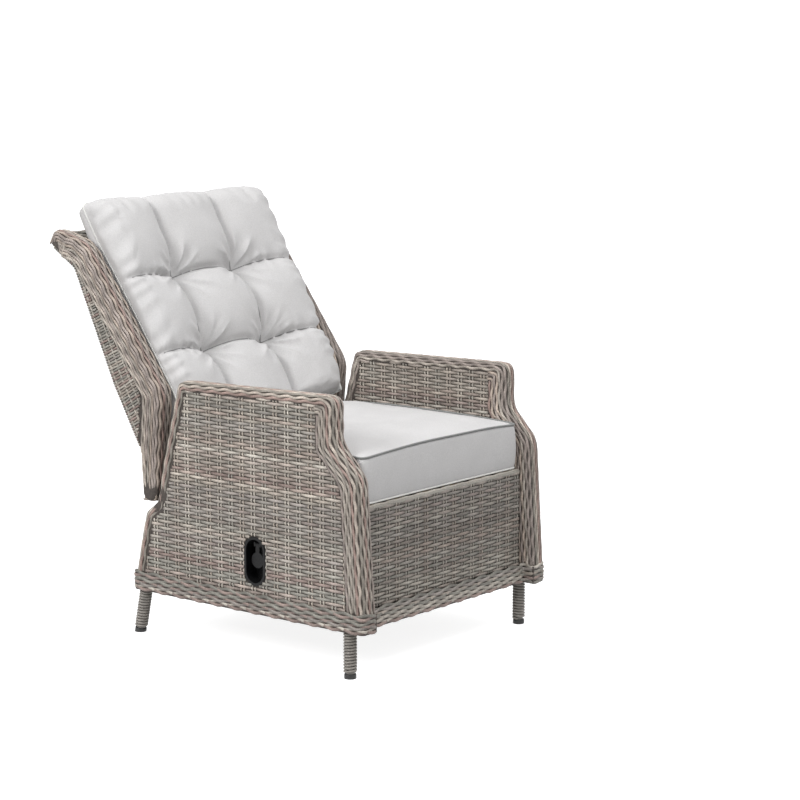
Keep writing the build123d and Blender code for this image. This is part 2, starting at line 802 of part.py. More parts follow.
# Backrest frame: a bent stile in each wing and the cross tubes between them
hinge_eye_x = -frame_x - hinge_eye_width / 2
with BuildPart() as stile:
    with BuildLine() as stile_route:
        FilletPolyline(
            (-frame_x, waist_point[0], hinge_height + hinge_eye_diameter / 2 - joint_gap * tube_radius),
            (-frame_x, *waist_point),
            (-frame_x, *bend_point),
            (-frame_x, *neck_point),
            (-frame_x, *lip_bar),
            radius=[knee_radius, 2 * knee_radius, wing_rim_width],
        )
    with BuildSketch(Plane(stile_route.line @ 0, z_dir=stile_route.line % 0)):
        Circle(tube_radius)
        Circle(tube_radius - tube_wall, mode=Mode.SUBTRACT)
    sweep()
    eye_end_x = hinge_eye_x + hinge_eye_width
    add(bar_x(*hinge_place, hinge_eye_diameter / 2, near=hinge_eye_x, far=eye_end_x))
    add(
        bar_x(*hinge_place, bush_radius + running_clearance / 2, near=-half_outer, far=-half_inner),
        mode=Mode.SUBTRACT,
    )
write_sides(stile.part, "back_stile")
with BuildPart() as back_cross_tubes:
    for place in cross_places:
        add(rail(place))
write(back_cross_tubes, "back_cross_tubes")

# Hinges: a plate on the seat rail, a bolt through a bush in the stile's eye, and a nut
bolt_radius = hinge_bolt_diameter / 2
plate_far_x = -half_inner + hinge_plate_gap
plate_near_x = plate_far_x + hinge_plate_thickness
plate_run = (hinge_y - rear_rail_y, hinge_height - seat_rail_height)
with BuildPart() as hinge_plate:
    with BuildSketch(Plane.YZ.offset(plate_far_x)):
        with Locations((rear_rail_y + plate_run[0] / 2, seat_rail_height + plate_run[1] / 2)):
            SlotCenterToCenter(
                hypot(*plate_run), 2 * hinge_plate_radius, rotation=degrees(atan2(plate_run[1], plate_run[0]))
            )
        with Locations((rear_rail_y, seat_rail_height)):
            Circle(tube_radius + running_clearance, mode=Mode.SUBTRACT)
        with Locations(hinge_place):
            Circle(bolt_radius + running_clearance, mode=Mode.SUBTRACT)
    extrude(amount=hinge_plate_thickness)
write_both(hinge_plate.part, "hinge_plates")
nut_near_x = hinge_eye_x - joint_gap
with BuildPart() as hinge_bolt:
    add(bar_x(*hinge_place, bolt_radius, near=nut_near_x - bolt_head_height, far=plate_near_x))
    with BuildSketch(Plane.YZ.offset(plate_near_x)):
        with Locations(hinge_place):
            RegularPolygon(bolt_head_width / 2, 6, major_radius=False)
    extrude(amount=bolt_head_height)
write_both(hinge_bolt.part, "hinge_bolts")
with BuildPart() as hinge_nut:
    with BuildSketch(Plane.YZ.offset(nut_near_x)):
        with Locations(hinge_place):
            RegularPolygon(bolt_head_width / 2, 6, major_radius=False)
            Circle(bolt_radius + running_clearance, mode=Mode.SUBTRACT)
    extrude(amount=-bolt_head_height)
write_both(hinge_nut.part, "hinge_nuts")
write_both(
    bar_x(
        *hinge_place,
        bush_radius,
        bolt_radius + running_clearance,
        near=hinge_eye_x,
        far=plate_far_x - joint_gap,
    ),
    "hinge_bushes",
)

# Gas strut: foot bracket, rod with its release head, cylinder, and the crank that drives it
strut_foot_y = front_y + strut_foot_setback
strut_foot = (strut_foot_y, strut_foot_height)
crank_lean = radians(crank_rest_angle)
crank_end = (hinge_y - crank_radius * sin(crank_lean), hinge_height - crank_radius * cos(crank_lean))
strut_run = (crank_end[0] - strut_foot[0], crank_end[1] - strut_foot[1])
strut_length = hypot(*strut_run)
strut_way = (0, strut_run[0] / strut_length, strut_run[1] / strut_length)
strut_plane = Plane((0, *strut_foot), x_dir=(-1, 0, 0), z_dir=strut_way)
strut_pin_radius = strut_pin_diameter / 2
ear_x = strut_ear_gap / 2
tab_low = strut_foot_height + strut_ear_radius + rim_wall / 2
tab_high = cable_z + ferrule_diameter
cross_run = (strut_foot_y - strut_cross_y, strut_foot_height - strut_cross_height)
with BuildPart() as strut_bracket:
    for ear_start in (-ear_x - strut_ear_thickness, ear_x):
        with BuildSketch(Plane.YZ.offset(ear_start)):
            with Locations((strut_cross_y + cross_run[0] / 2, strut_cross_height + cross_run[1] / 2)):
                SlotCenterToCenter(
                    hypot(*cross_run), 2 * strut_ear_radius, rotation=degrees(atan2(cross_run[1], cross_run[0]))
                )
            with Locations((strut_foot_y, (strut_foot_height + tab_high) / 2)):
                Rectangle(strut_ear_thickness, tab_high - strut_foot_height)
        extrude(amount=strut_ear_thickness)
    with BuildSketch(Plane.XY.offset(tab_low)):
        with Locations((0, strut_foot_y)):
            Rectangle(2 * ear_x + strut_ear_thickness, strut_ear_thickness)
    extrude(amount=tab_high - tab_low)
    bracket_half = ear_x + strut_ear_thickness + overrun
    for place, radius in (
        ((strut_cross_y, strut_cross_height), tube_radius + running_clearance),
        (strut_foot, strut_pin_radius + running_clearance),
    ):
        add(bar_x(*place, radius, near=-bracket_half, far=bracket_half), mode=Mode.SUBTRACT)
    with BuildSketch(Plane.XZ.offset(-strut_foot_y)):
        with Locations((0, cable_z)):
            Circle(cable_diameter / 2 + running_clearance)
    extrude(amount=strut_ear_thickness, both=True, mode=Mode.SUBTRACT)
write(strut_bracket, "strut_bracket")


def headed_pin(place, radius, half_length):
    """A pin across the chair with a thin round head at each end."""
    head = radius / 4
    with BuildPart() as piece:
        add(bar_x(*place, radius, near=-half_length, far=half_length))
        for head_start in (-half_length - head, half_length):
            add(bar_x(*place, radius + 2 * head, near=head_start, far=head_start + head))
    return piece


write(headed_pin(strut_foot, strut_pin_radius, ear_x + strut_ear_thickness + joint_gap), "strut_pin")

head_start = -strut_ear_radius + running_clearance
head_ear = lever_thickness * 2
lever_axis_reach = head_start - head_ear / 2 - lever_thickness / 4
lever_axis_drop = head_width / 4
with BuildPart() as release_head:
    with BuildSketch(strut_plane.offset(head_start)):
        Rectangle(head_width, head_width)
    extrude(amount=head_length)
    with BuildSketch(strut_plane.offset(head_start - head_ear)):
        for ear_side in (-1, 1):
            ear_thickness = (head_width - lever_width) / 2 - joint_gap
            with Locations((ear_side * (head_width - ear_thickness) / 2, -lever_axis_drop)):
                Rectangle(ear_thickness, head_width / 2)
    extrude(amount=head_ear)
    head_pin_hole = bar_x(*strut_foot, strut_pin_radius + running_clearance, near=-head_width, far=head_width)
    add(head_pin_hole, mode=Mode.SUBTRACT)
    lever_axis = strut_plane.from_local_coords((0, -lever_axis_drop, lever_axis_reach))
    lever_place = (lever_axis.Y, lever_axis.Z)
    lever_pin_radius = lever_pin_diameter / 2
    add(
        bar_x(*lever_place, lever_pin_radius + running_clearance, near=-head_width, far=head_width),
        mode=Mode.SUBTRACT,
    )
write(release_head, "release_head")

with BuildPart() as gas_rod:
    with BuildSketch(strut_plane.offset(head_start + head_length)):
        Circle(rod_diameter / 2)
    extrude(amount=rod_reach - head_start - head_length)
    with BuildSketch(strut_plane.offset(rod_reach - piston_length)):
        Circle(cylinder_diameter / 2 - cylinder_wall - running_clearance)
    extrude(amount=piston_length)
write(gas_rod, "gas_rod")

eye_radius = strut_eye_diameter / 2
strut_eye = strut_plane.from_local_coords((0, open_pivot_up, strut_length + open_pivot_along))
eye_place = (strut_eye.Y, strut_eye.Z)
cylinder_end = strut_length - eye_radius - 2 * cylinder_wall
with BuildPart() as gas_cylinder:
    with BuildSketch(strut_plane.offset(cylinder_start)):
        Circle(cylinder_diameter / 2)
    extrude(amount=cylinder_end - cylinder_start)
    with BuildSketch(strut_plane.offset(cylinder_end)):
        Circle(strut_eye_width / 2 - cylinder_wall / 2)
    extrude(amount=eye_radius)
    add(bar_x(*eye_place, eye_radius, near=-strut_eye_width / 2, far=strut_eye_width / 2))
    with BuildSketch(strut_plane.offset(cylinder_start + 3 * cylinder_wall)):
        Circle(cylinder_diameter / 2 - cylinder_wall)
    extrude(amount=cylinder_end - cylinder_start - 6 * cylinder_wall, mode=Mode.SUBTRACT)
    with BuildSketch(strut_plane.offset(cylinder_start)):
        Circle(rod_diameter / 2 + running_clearance)
    extrude(amount=3 * cylinder_wall, mode=Mode.SUBTRACT)
    open_radius = crank_pin_diameter / 2 + open_pivot_clearance
    add(bar_x(*eye_place, open_radius, near=-strut_eye_width, far=strut_eye_width), mode=Mode.SUBTRACT)
write(gas_cylinder, "gas_cylinder")

crank_run = (crank_end[0] - low_cross[0], crank_end[1] - low_cross[1])
crank_pin_radius = crank_pin_diameter / 2
with BuildPart() as crank_plate:
    with BuildSketch(Plane.YZ.offset(-crank_gap / 2 - crank_plate_thickness)):
        with Locations((low_cross[0] + crank_run[0] / 2, low_cross[1] + crank_run[1] / 2)):
            SlotCenterToCenter(
                hypot(*crank_run), crank_plate_width, rotation=degrees(atan2(crank_run[1], crank_run[0]))
            )
        with Locations(low_cross):
            Circle(tube_radius + joint_gap, mode=Mode.SUBTRACT)
        with Locations(crank_end):
            Circle(crank_pin_radius + running_clearance, mode=Mode.SUBTRACT)
        with Locations((low_cross[0], low_cross[1] + overrun)):
            Rectangle(2 * overrun, 2 * overrun, mode=Mode.SUBTRACT)
    extrude(amount=crank_plate_thickness)
write_both(crank_plate.part, "crank_plates")
pin_half = crank_gap / 2 + crank_plate_thickness + joint_gap
write(headed_pin(crank_end, crank_pin_radius, pin_half), "crank_pin")

# Release lever on the head
with BuildPart() as release_lever:
    with BuildSketch(strut_plane.offset(lever_axis_reach - lever_thickness / 2)):
        with Locations((0, lever_height / 2 - lever_axis_drop - lever_thickness)):
            Rectangle(lever_width, lever_height)
    extrude(amount=lever_thickness)
    add(bar_x(*lever_place, lever_thickness, near=-lever_width / 2, far=lever_width / 2))
    add(bar_x(*lever_place, lever_pin_radius, near=-head_width / 2, far=head_width / 2))
write(release_lever, "release_lever")

# Release handle: a cup let into the right side, with a paddle on a pin
cup_face_x = outer_skin_x - cup_flange_thickness
cup_back_x = outer_skin_x + cup_depth - cup_flange_thickness
cup_body_width = cup_width - 2 * cup_flange
cup_body_height = cup_height - 2 * cup_flange
pin_z = handle_height + handle_pin_rise
hub_radius = paddle_thickness
hub_x = cup_face_x + 3 * hub_radius
cup_ear = 3 * cup_wall / 2
with BuildPart() as handle_cup:
    with BuildSketch(Plane.YZ.offset(cup_face_x)):
        with Locations((handle_y, handle_height)):
            SlotOverall(cup_height, cup_width, rotation=90)
    extrude(amount=cup_flange_thickness - running_clearance)
    fillet(handle_cup.faces().sort_by(Axis.X)[0].edges(), cup_flange_thickness / 2)
    with BuildSketch(Plane.YZ.offset(cup_face_x + cup_wall / 2)):
        with Locations((handle_y, handle_height)):
            SlotOverall(cup_body_height, cup_body_width, rotation=90)
    extrude(amount=cup_back_x - cup_face_x - cup_wall / 2)
    with BuildSketch(Plane.YZ.offset(cup_face_x)):
        with Locations((handle_y, handle_height)):
            SlotOverall(cup_body_height - 2 * cup_wall, cup_body_width - 2 * cup_wall, rotation=90)
    extrude(amount=cup_depth - cup_wall, mode=Mode.SUBTRACT)
    with BuildSketch(Plane.XZ.offset(-handle_y)):
        with Locations(((hub_x + cup_back_x - hub_radius - cup_wall) / 2, pin_z)):
            Rectangle(cup_back_x - cup_wall - hub_x + hub_radius, 2 * hub_radius)
    extrude(amount=stem_width / 2 + joint_gap + cup_ear, both=True)
    with BuildSketch(Plane.XZ.offset(-handle_y)):
        with Locations(((hub_x + cup_back_x - hub_radius - cup_wall) / 2, pin_z)):
            Rectangle(cup_back_x - cup_wall - hub_x + hub_radius + cup_wall, 4 * hub_radius)
    extrude(amount=stem_width / 2 + joint_gap, both=True, mode=Mode.SUBTRACT)
    with BuildSketch(Plane.XZ.offset(-handle_y)):
        with Locations((hub_x, pin_z)):
            Circle(handle_pin_diameter / 2 + running_clearance)
    extrude(amount=cup_width / 3, both=True, mode=Mode.SUBTRACT)
    with BuildSketch(Plane.YZ.offset(cup_back_x - 2 * cup_wall)):
        with Locations((handle_y, cable_z)):
            Circle(cable_diameter / 2 + running_clearance)
    extrude(amount=4 * cup_wall, mode=Mode.SUBTRACT)
write(handle_cup, "handle_cup")

with BuildPart() as handle_paddle:
    with BuildSketch(Plane.YZ.offset(hub_x - hub_radius)):
        with Locations((handle_y, pin_z - paddle_drop)):
            Circle(paddle_diameter / 2)
        with Locations((handle_y, pin_z - paddle_drop / 2)):
            Rectangle(stem_width, paddle_drop)
    extrude(amount=paddle_thickness)
    fillet(handle_paddle.faces().sort_by(Axis.X)[0].edges(), paddle_thickness / 4)
    with BuildSketch(Plane.XZ.offset(-handle_y)):
        with Locations((hub_x, pin_z)):
            Circle(hub_radius)
    extrude(amount=stem_width / 2, both=True)
    with BuildSketch(Plane.XZ.offset(-handle_y)):
        with Locations((hub_x, pin_z)):
            Circle(handle_pin_diameter / 2 + running_clearance)
    extrude(amount=stem_width, both=True, mode=Mode.SUBTRACT)
write(handle_paddle, "handle_paddle")

with BuildPart() as handle_pin:
    with BuildSketch(Plane.XZ.offset(-handle_y)):
        with Locations((hub_x, pin_z)):
            Circle(handle_pin_diameter / 2)
    extrude(amount=stem_width / 2 + joint_gap + cup_ear, both=True)
write(handle_pin, "handle_pin")

# Control cable from the cup to the foot bracket
cable_start_x = cup_back_x - cup_wall
with BuildPart() as control_cable:
    with BuildLine() as cable_route:
        FilletPolyline(
            (cable_start_x, handle_y, cable_z),
            (0, handle_y, cable_z),
            (0, strut_foot_y - strut_ear_thickness / 2, cable_z),
            radius=cable_bend,
        )
    with BuildSketch(Plane(cable_route.line @ 0, z_dir=cable_route.line % 0)):
        Circle(cable_diameter / 2)
    sweep()
write(control_cable, "control_cable")
with BuildPart() as cable_ferrules:
    with BuildSketch(Plane.YZ.offset(cup_back_x + joint_gap)):
        with Locations((handle_y, cable_z)):
            Circle(ferrule_diameter / 2)
            Circle(cable_diameter / 2 + running_clearance, mode=Mode.SUBTRACT)
    extrude(amount=ferrule_length)
    with BuildSketch(Plane.XZ.offset(-strut_foot_y - strut_ear_thickness / 2 - joint_gap)):
        with Locations((0, cable_z)):
            Circle(ferrule_diameter / 2)
            Circle(cable_diameter / 2 + running_clearance, mode=Mode.SUBTRACT)
    extrude(amount=-ferrule_length)
write(cable_ferrules, "cable_ferrules")
print(f"control cable length {sum(edge.length for edge in cable_route.edges()):.0f} mm")

# Seat cushion: a boxed cushion with drawn-in sides and a crowned top
seat_cushion_y = front_y + seat_cushion_setback + seat_cushion_length / 2
seat_cushion_z = deck_z + joint_gap


def pillow(z, inward):
    """A level section of the seat cushion, its sides drawn in between rounded corners."""
    half_wide = half_inner - seat_cushion_gap - inward
    half_long = seat_cushion_length / 2 - inward
    draw = seat_cushion_draw
    front, back = seat_cushion_y - half_long, seat_cushion_y + half_long
    with BuildSketch(Plane.XY.offset(z)) as drawn:
        with BuildLine():
            ThreePointArc((-half_wide, front), (0, front + draw), (half_wide, front))
            ThreePointArc((half_wide, front), (half_wide - draw, seat_cushion_y), (half_wide, back))
            ThreePointArc((half_wide, back), (0, back - draw), (-half_wide, back))
            ThreePointArc((-half_wide, back), (draw - half_wide, seat_cushion_y), (-half_wide, front))
        make_face()
        fillet(drawn.vertices(), seat_cushion_corner)
    return drawn.sketch


with BuildPart() as seat_cushion:
    for height, drawn_in in pillow_shares:
        half_cushion = seat_cushion_length / 2
        add(pillow(seat_cushion_z + seat_cushion_thickness * height, half_cushion * drawn_in))
    for height, drawn_in in crown_shares:
        crown_z = seat_cushion_z + seat_cushion_thickness + seat_cushion_crown * height
        add(pillow(crown_z, half_cushion * drawn_in))
    loft(ruled=True)
write(seat_cushion, "seat_cushion")

# Back cushion: two columns of tufts and two rows of seams part it into nine puffs
cushion_tilt = radians(back_cushion_lean)
cushion_root = (hinge_y + back_cushion_root_back, hinge_height + back_cushion_root_rise)
cushion_half = half_inner - back_cushion_gap


def on_back(up, out):
    """A point this far up the backrest from the root and this far out of it."""
    return (
        cushion_root[0] + up * sin(cushion_tilt) - out * cos(cushion_tilt),
        cushion_root[1] + up * cos(cushion_tilt) + out * sin(cushion_tilt),
    )


def cushion_depth(up, fullness):
    """Depth of the cushion's face at this height, between its edge and its crown."""
    share = (up + back_cushion_foot) / (back_cushion_foot + back_cushion_head)
    edge = back_cushion_foot_edge + (back_cushion_head_edge - back_cushion_foot_edge) * share
    crown = back_cushion_foot_crown + (back_cushion_head_crown - back_cushion_foot_crown) * share
    return edge + (crown - edge) * fullness


def cushion_section(x, puff, seam):
    """An upright section of the back cushion across this x."""
    low, high = -back_cushion_foot, back_cushion_head
    stops = [low, tuft_low, tuft_high, high]
    fullness = [seam, seam, seam, seam]
    front = [on_back(up, cushion_depth(up, full)) for up, full in zip(stops, fullness)]
    rear_low = on_back(low + 2 * back_cushion_end_bulge, back_cushion_clearance)
    rear_high = on_back(high - back_cushion_end_bulge, back_cushion_clearance)
    low_out = (cushion_depth(low, seam) + back_cushion_clearance) / 2
    high_out = (cushion_depth(high, seam) + back_cushion_clearance) / 2
    with BuildSketch(Plane.YZ.offset(x)) as drawn:
        with BuildLine():
            Line(rear_high, rear_low)
            ThreePointArc(rear_low, on_back(low - back_cushion_end_bulge / 3, low_out), front[0])
            for index in range(len(front) - 1):
                middle = (stops[index] + stops[index + 1]) / 2
                bulge = on_back(middle, cushion_depth(middle, puff))
                ThreePointArc(front[index], bulge, front[index + 1])
            ThreePointArc(front[-1], on_back(high + back_cushion_end_bulge, high_out), rear_high)
        make_face()
    return drawn.sketch


with BuildPart() as back_cushion:
    for place, puff, seam in reversed(puff_shares[1:]):
        add(cushion_section(-cushion_half * place, puff, seam))
    for place, puff, seam in puff_shares:
        add(cushion_section(cushion_half * place, puff, seam))
    loft()
write(back_cushion, "back_cushion")
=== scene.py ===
import json
from math import cos, pi, radians, sin

import bmesh
import bpy
import numpy as np
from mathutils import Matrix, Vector
from mathutils.bvhtree import BVHTree

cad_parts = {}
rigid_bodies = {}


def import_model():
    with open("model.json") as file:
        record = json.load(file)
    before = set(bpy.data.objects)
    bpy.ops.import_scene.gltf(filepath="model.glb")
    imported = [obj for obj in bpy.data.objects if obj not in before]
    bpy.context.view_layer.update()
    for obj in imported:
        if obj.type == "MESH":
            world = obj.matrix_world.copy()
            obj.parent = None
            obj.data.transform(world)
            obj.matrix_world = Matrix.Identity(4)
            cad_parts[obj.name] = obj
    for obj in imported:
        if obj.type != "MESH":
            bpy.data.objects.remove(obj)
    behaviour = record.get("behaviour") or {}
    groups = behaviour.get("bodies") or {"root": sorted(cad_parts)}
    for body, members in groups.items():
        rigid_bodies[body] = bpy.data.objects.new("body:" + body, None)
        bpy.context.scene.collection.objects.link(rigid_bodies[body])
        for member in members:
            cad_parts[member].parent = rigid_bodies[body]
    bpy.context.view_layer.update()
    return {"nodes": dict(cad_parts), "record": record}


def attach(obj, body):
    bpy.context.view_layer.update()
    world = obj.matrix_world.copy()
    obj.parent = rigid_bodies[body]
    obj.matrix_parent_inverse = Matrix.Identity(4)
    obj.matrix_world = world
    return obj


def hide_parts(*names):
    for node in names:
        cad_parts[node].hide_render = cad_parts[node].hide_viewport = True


for leftover in list(bpy.data.objects):
    bpy.data.objects.remove(leftover)
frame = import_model()
nodes = frame["nodes"]

# ---------------------------------------------------------------- sizes, in millimetres
FRONT = -483.2
IN, OUT = 290.0, 334.0
HINGE = np.array([FRONT + 653.0, 345.0])
SPAN = IN - 1
BASE_DEPTH = 704.0
FOOT, APRON_TOP, SEAT_EDGE = 108.0, 150.0, 378.0
FRONT_FACE, FRONT_APRON = FRONT + 40, FRONT + 30
HEEL_DEPTH, HEEL_HEIGHT = 664, 296
PANEL = [(0, FOOT), (22, 450), (90, 522), (90, 624), (552, 613)]
PANEL += [(628, 326), (HEEL_DEPTH, HEEL_HEIGHT), (BASE_DEPTH, FOOT)]
PANEL = [(FRONT + y, z) for y, z in PANEL]
FIELD = [48, 48, 48, 21, 30, 30, 30, 42]
PANEL_ROUND = [4, 60, 60, 26, 21, 12, 21, 4]
WING = [(-22, -23), (-42, 236), (202, 566), (300, 592), (318, 558)]
WING += [(236, 507), (110, 241), (22, 90), (22, -23)]
WING = [(HINGE[0] + y, HINGE[1] + z) for y, z in WING]
WING_FIELD = [60, 50, 41, 0, 0, 0, 0, 0, 82]
WING_ROUND = [21, 60, 90, 15, 14, 30, 120, 60, 21]
ROW, STAKE = 7.8, 34.0
TWIN = 4.6  # each stake is a pair of strands, this far from its middle
RIM_STRAND = (7.0, 3.3)
WING_STRAND = (6.9, 3.3)
APRON_STRAND = (8.2, 3.6)
MM = 0.001

rng = np.random.default_rng(11)


# ---------------------------------------------------------------- outlines
def inset(points, widths):
    """A closed outline with edge i moved in by widths[i]."""
    lines = []
    for index, start in enumerate(points):
        end = points[(index + 1) % len(points)]
        way = np.subtract(end, start)
        way = way / np.hypot(*way)
        lines.append((np.array(start) + np.array([way[1], -way[0]]) * widths[index], way))
    corners = []
    for index, (point, way) in enumerate(lines):
        before, before_way = lines[index - 1]
        cross = before_way[0] * way[1] - before_way[1] * way[0]
        reach = ((point[0] - before[0]) * way[1] - (point[1] - before[1]) * way[0]) / cross
        corners.append(before + before_way * reach)
    return np.array(corners)


def rounded(corners, radii, closed=False, step=6.0):
    """Points along a run of corners, each rounded with an arc."""
    corners = [np.array(corner, float) for corner in corners]
    count = len(corners)
    result = []
    for index, corner in enumerate(corners):
        if not closed and index in (0, count - 1):
            result.append(corner)
            continue
        before, after = corners[index - 1], corners[(index + 1) % count]
        way_in = (corner - before) / np.linalg.norm(corner - before)
        way_out = (after - corner) / np.linalg.norm(after - corner)
        bend = np.arccos(np.clip(way_in @ way_out, -1, 1))
        room = 0.48 * min(np.linalg.norm(corner - before), np.linalg.norm(after - corner))
        cut = min(radii[index] * np.tan(bend / 2), room)
        for share in np.linspace(0, 1, 8):
            start, end = corner - way_in * cut, corner + way_out * cut
            result.append(start * (1 - share) ** 2 + 2 * corner * share * (1 - share) + end * share**2)
    if closed:
        result.append(result[0])
    return resample(np.array(result), step)


def resample(points, step):
    """The same line with points evenly this far apart."""
    lengths = np.r_[0, np.cumsum(np.linalg.norm(np.diff(points, axis=0), axis=1))]
    keep = np.r_[True, np.diff(lengths) > 1e-6]
    lengths, points = lengths[keep], points[keep]
    stops = np.linspace(0, lengths[-1], max(2, int(round(lengths[-1] / step)) + 1))
    return np.stack([np.interp(stops, lengths, points[:, axis]) for axis in range(points.shape[1])], 1)


def inside(points, polygon):
    """Which of these points lie inside a closed polygon."""
    polygon = np.asarray(polygon)
    result = np.zeros(len(points), bool)
    for start, end in zip(polygon, np.roll(polygon, -1, 0)):
        crosses = (start[1] > points[:, 1]) != (end[1] > points[:, 1])
        rise = end[1] - start[1] if end[1] != start[1] else 1e-9
        at = start[0] + (points[:, 1] - start[1]) * (end[0] - start[0]) / rise
        result ^= crosses & (points[:, 0] < at)
    return result


def runs(mask):
    """Start and end of each unbroken run of True."""
    edges = np.diff(np.r_[0, mask.astype(int), 0])
    return list(zip(np.where(edges == 1)[0], np.where(edges == -1)[0]))


# ---------------------------------------------------------------- strands
TONES = np.array(
    [
        [0.49, 0.435, 0.385],
        [0.38, 0.345, 0.325],
        [0.31, 0.30, 0.272],
        [0.43, 0.41, 0.375],
        [0.375, 0.29, 0.265],
        [0.57, 0.53, 0.48],
    ]
)
RIM_DIM = np.array([0.90, 0.855, 0.84])


class Bundle:
    """Many strands gathered into one mesh, each with its own tone."""

    def __init__(self, name, body, tint_and_shade=1.0):
        # One colour factor for the whole bundle: a tint for some bundles (the rims), painted shade for others
        # (the front panel).
        self.name, self.body, self.tint_and_shade = name, body, np.ones(3) * tint_and_shade
        self.points, self.faces, self.tones, self.count = [], [], [], 0

    def strand(self, path, normals, width, height, section=4, tone=None, closed=False, painted_shade=1.0):
        """A half-round strand along a path, its flat side against the surface."""
        path, normals = np.asarray(path, float), np.asarray(normals, float)
        if len(path) < 3:
            return
        ways = np.gradient(path, axis=0)
        if closed:
            ways[0] = ways[-1] = path[1] - path[-2]
        ways /= np.linalg.norm(ways, axis=1, keepdims=True) + 1e-9
        across = np.cross(ways, normals)
        across /= np.linalg.norm(across, axis=1, keepdims=True) + 1e-9
        up = np.cross(across, ways)
        if section == 3:
            shape = [(-0.5, 0), (0, 1), (0.5, 0)]
        elif section == 4:
            shape = [(-0.5, 0), (-0.28, 0.9), (0.28, 0.9), (0.5, 0)]
        elif section == 5:
            shape = [(-0.5, 0), (-0.38, 0.72), (0, 1), (0.38, 0.72), (0.5, 0)]
        else:
            angles = np.arange(section) * 2 * pi / section
            shape = [(-0.5 * cos(a), 0.5 + 0.5 * sin(a)) for a in angles]
        size = len(shape)
        ring = [path + across * (width * a) + up * (height * b) for a, b in shape]
        block = np.stack(ring, 1).reshape(-1, 3)
        length = len(path)
        first = np.arange(length - 1)[:, None] * size + np.arange(size)[None, :]
        second = np.arange(length - 1)[:, None] * size + (np.arange(size)[None, :] + 1) % size
        quads = np.stack([first, second, second + size, first + size], 2).reshape(-1, 4) + self.count
        self.faces.extend(quads.tolist())
        if not closed:
            self.faces.append([self.count + i for i in range(size)][::-1])
            self.faces.append([self.count + (length - 1) * size + i for i in range(size)])
        if tone is None:
            tone = TONES[rng.integers(len(TONES))] * rng.uniform(0.9, 1.12)
        # The colour drifts a little at random along the strand, times a painted shade factor: painted shade
        # where the strand dips, painted light where it lifts.
        tone_drift_and_shade = (1 + 0.09 * np.sin(np.arange(length) * 0.21 + rng.uniform(0, 6))) * painted_shade
        colour = np.repeat(np.asarray(tone) * self.tint_and_shade * tone_drift_and_shade[:, None], size, 0)
        self.points.append(block)
        self.tones.append(colour)
        self.count += len(block)

    def build(self, material):
        """Make the Blender object of all strands so far."""
        points = np.concatenate(self.points) * MM
        mesh = bpy.data.meshes.new(self.name)
        mesh.from_pydata(points.tolist(), [], self.faces)
        tones = np.concatenate(self.tones)
        layer = mesh.color_attributes.new("Tone", "FLOAT_COLOR", "POINT")
        layer.data.foreach_set("color", np.c_[tones, np.ones(len(tones))].astype(np.float32).ravel())
        mesh.polygons.foreach_set("use_smooth", [True] * len(mesh.polygons))
        mesh.update()
        piece = bpy.data.objects.new(self.name, mesh)
        bpy.context.scene.collection.objects.link(piece)
        piece.data.materials.append(material)
        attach(piece, self.body)
        return piece


# ---------------------------------------------------------------- materials
def new_material(name):
    """A new material with its node tree and shader."""
    material = bpy.data.materials.new(name)
    material.use_nodes = True
    tree = material.node_tree
    return material, tree, tree.nodes["Principled BSDF"]


def node(tree, kind, **values):
    """A shader node with these settings or input values."""
    made = tree.nodes.new(kind)
    for key, value in values.items():
        if hasattr(made, key):
            setattr(made, key, value)
        else:
            made.inputs[key.replace("_", " ")].default_value = value
    return made


def add_bump(tree, shader, height, strength, distance):
    """Fine relief from a height."""
    bump = tree.nodes.new("ShaderNodeBump")
    bump.inputs["Strength"].default_value = strength
    bump.inputs["Distance"].default_value = distance
    tree.links.new(height, bump.inputs["Height"])
    tree.links.new(bump.outputs["Normal"], shader.inputs["Normal"])


def ramp(tree, source, stops):
    """A colour that follows a value between these stops."""
    made = tree.nodes.new("ShaderNodeValToRGB")
    elements = made.color_ramp.elements
    elements[0].position, elements[0].color = stops[0][0], (*stops[0][1], 1)
    elements[1].position, elements[1].color = stops[-1][0], (*stops[-1][1], 1)
    for place, colour in stops[1:-1]:
        element = elements.new(place)
        element.color = (*colour, 1)
    tree.links.new(source, made.inputs["Fac"])
    return made.outputs["Color"]


def multiply(tree, first, second):
    """The product of two colours."""
    made = node(tree, "ShaderNodeMix", data_type="RGBA", blend_type="MULTIPLY")
    made.inputs[0].default_value = 1
    tree.links.new(first, made.inputs[6])
    tree.links.new(second, made.inputs[7])
    return made.outputs[2]


def wicker_material():
    """Resin strand: tone from the strand, fine streaks, a soft sheen."""
    material, tree, shader = new_material("wicker_strand")
    tone = node(tree, "ShaderNodeAttribute", attribute_name="Tone")
    place = tree.nodes.new("ShaderNodeTexCoord")
    streak = node(tree, "ShaderNodeTexNoise", Scale=260.0, Detail=3.0, Roughness=0.6)
    tree.links.new(place.outputs["Object"], streak.inputs["Vector"])
    patch = node(tree, "ShaderNodeTexNoise", Scale=9.0, Detail=2.0)
    tree.links.new(place.outputs["Object"], patch.inputs["Vector"])
    fine = ramp(tree, streak.outputs["Fac"], [(0.3, (0.72, 0.72, 0.72)), (0.7, (1.16, 1.15, 1.13))])
    broad = ramp(tree, patch.outputs["Fac"], [(0.35, (0.90, 0.88, 0.86)), (0.65, (1.08, 1.08, 1.06))])
    streaked = multiply(tree, tone.outputs["Color"], fine)
    tree.links.new(multiply(tree, streaked, broad), shader.inputs["Base Color"])
    shader.inputs["Roughness"].default_value = 0.52
    shader.inputs["Specular IOR Level"].default_value = 0.4
    add_bump(tree, shader, streak.outputs["Fac"], 0.35, 0.0006)
    return material


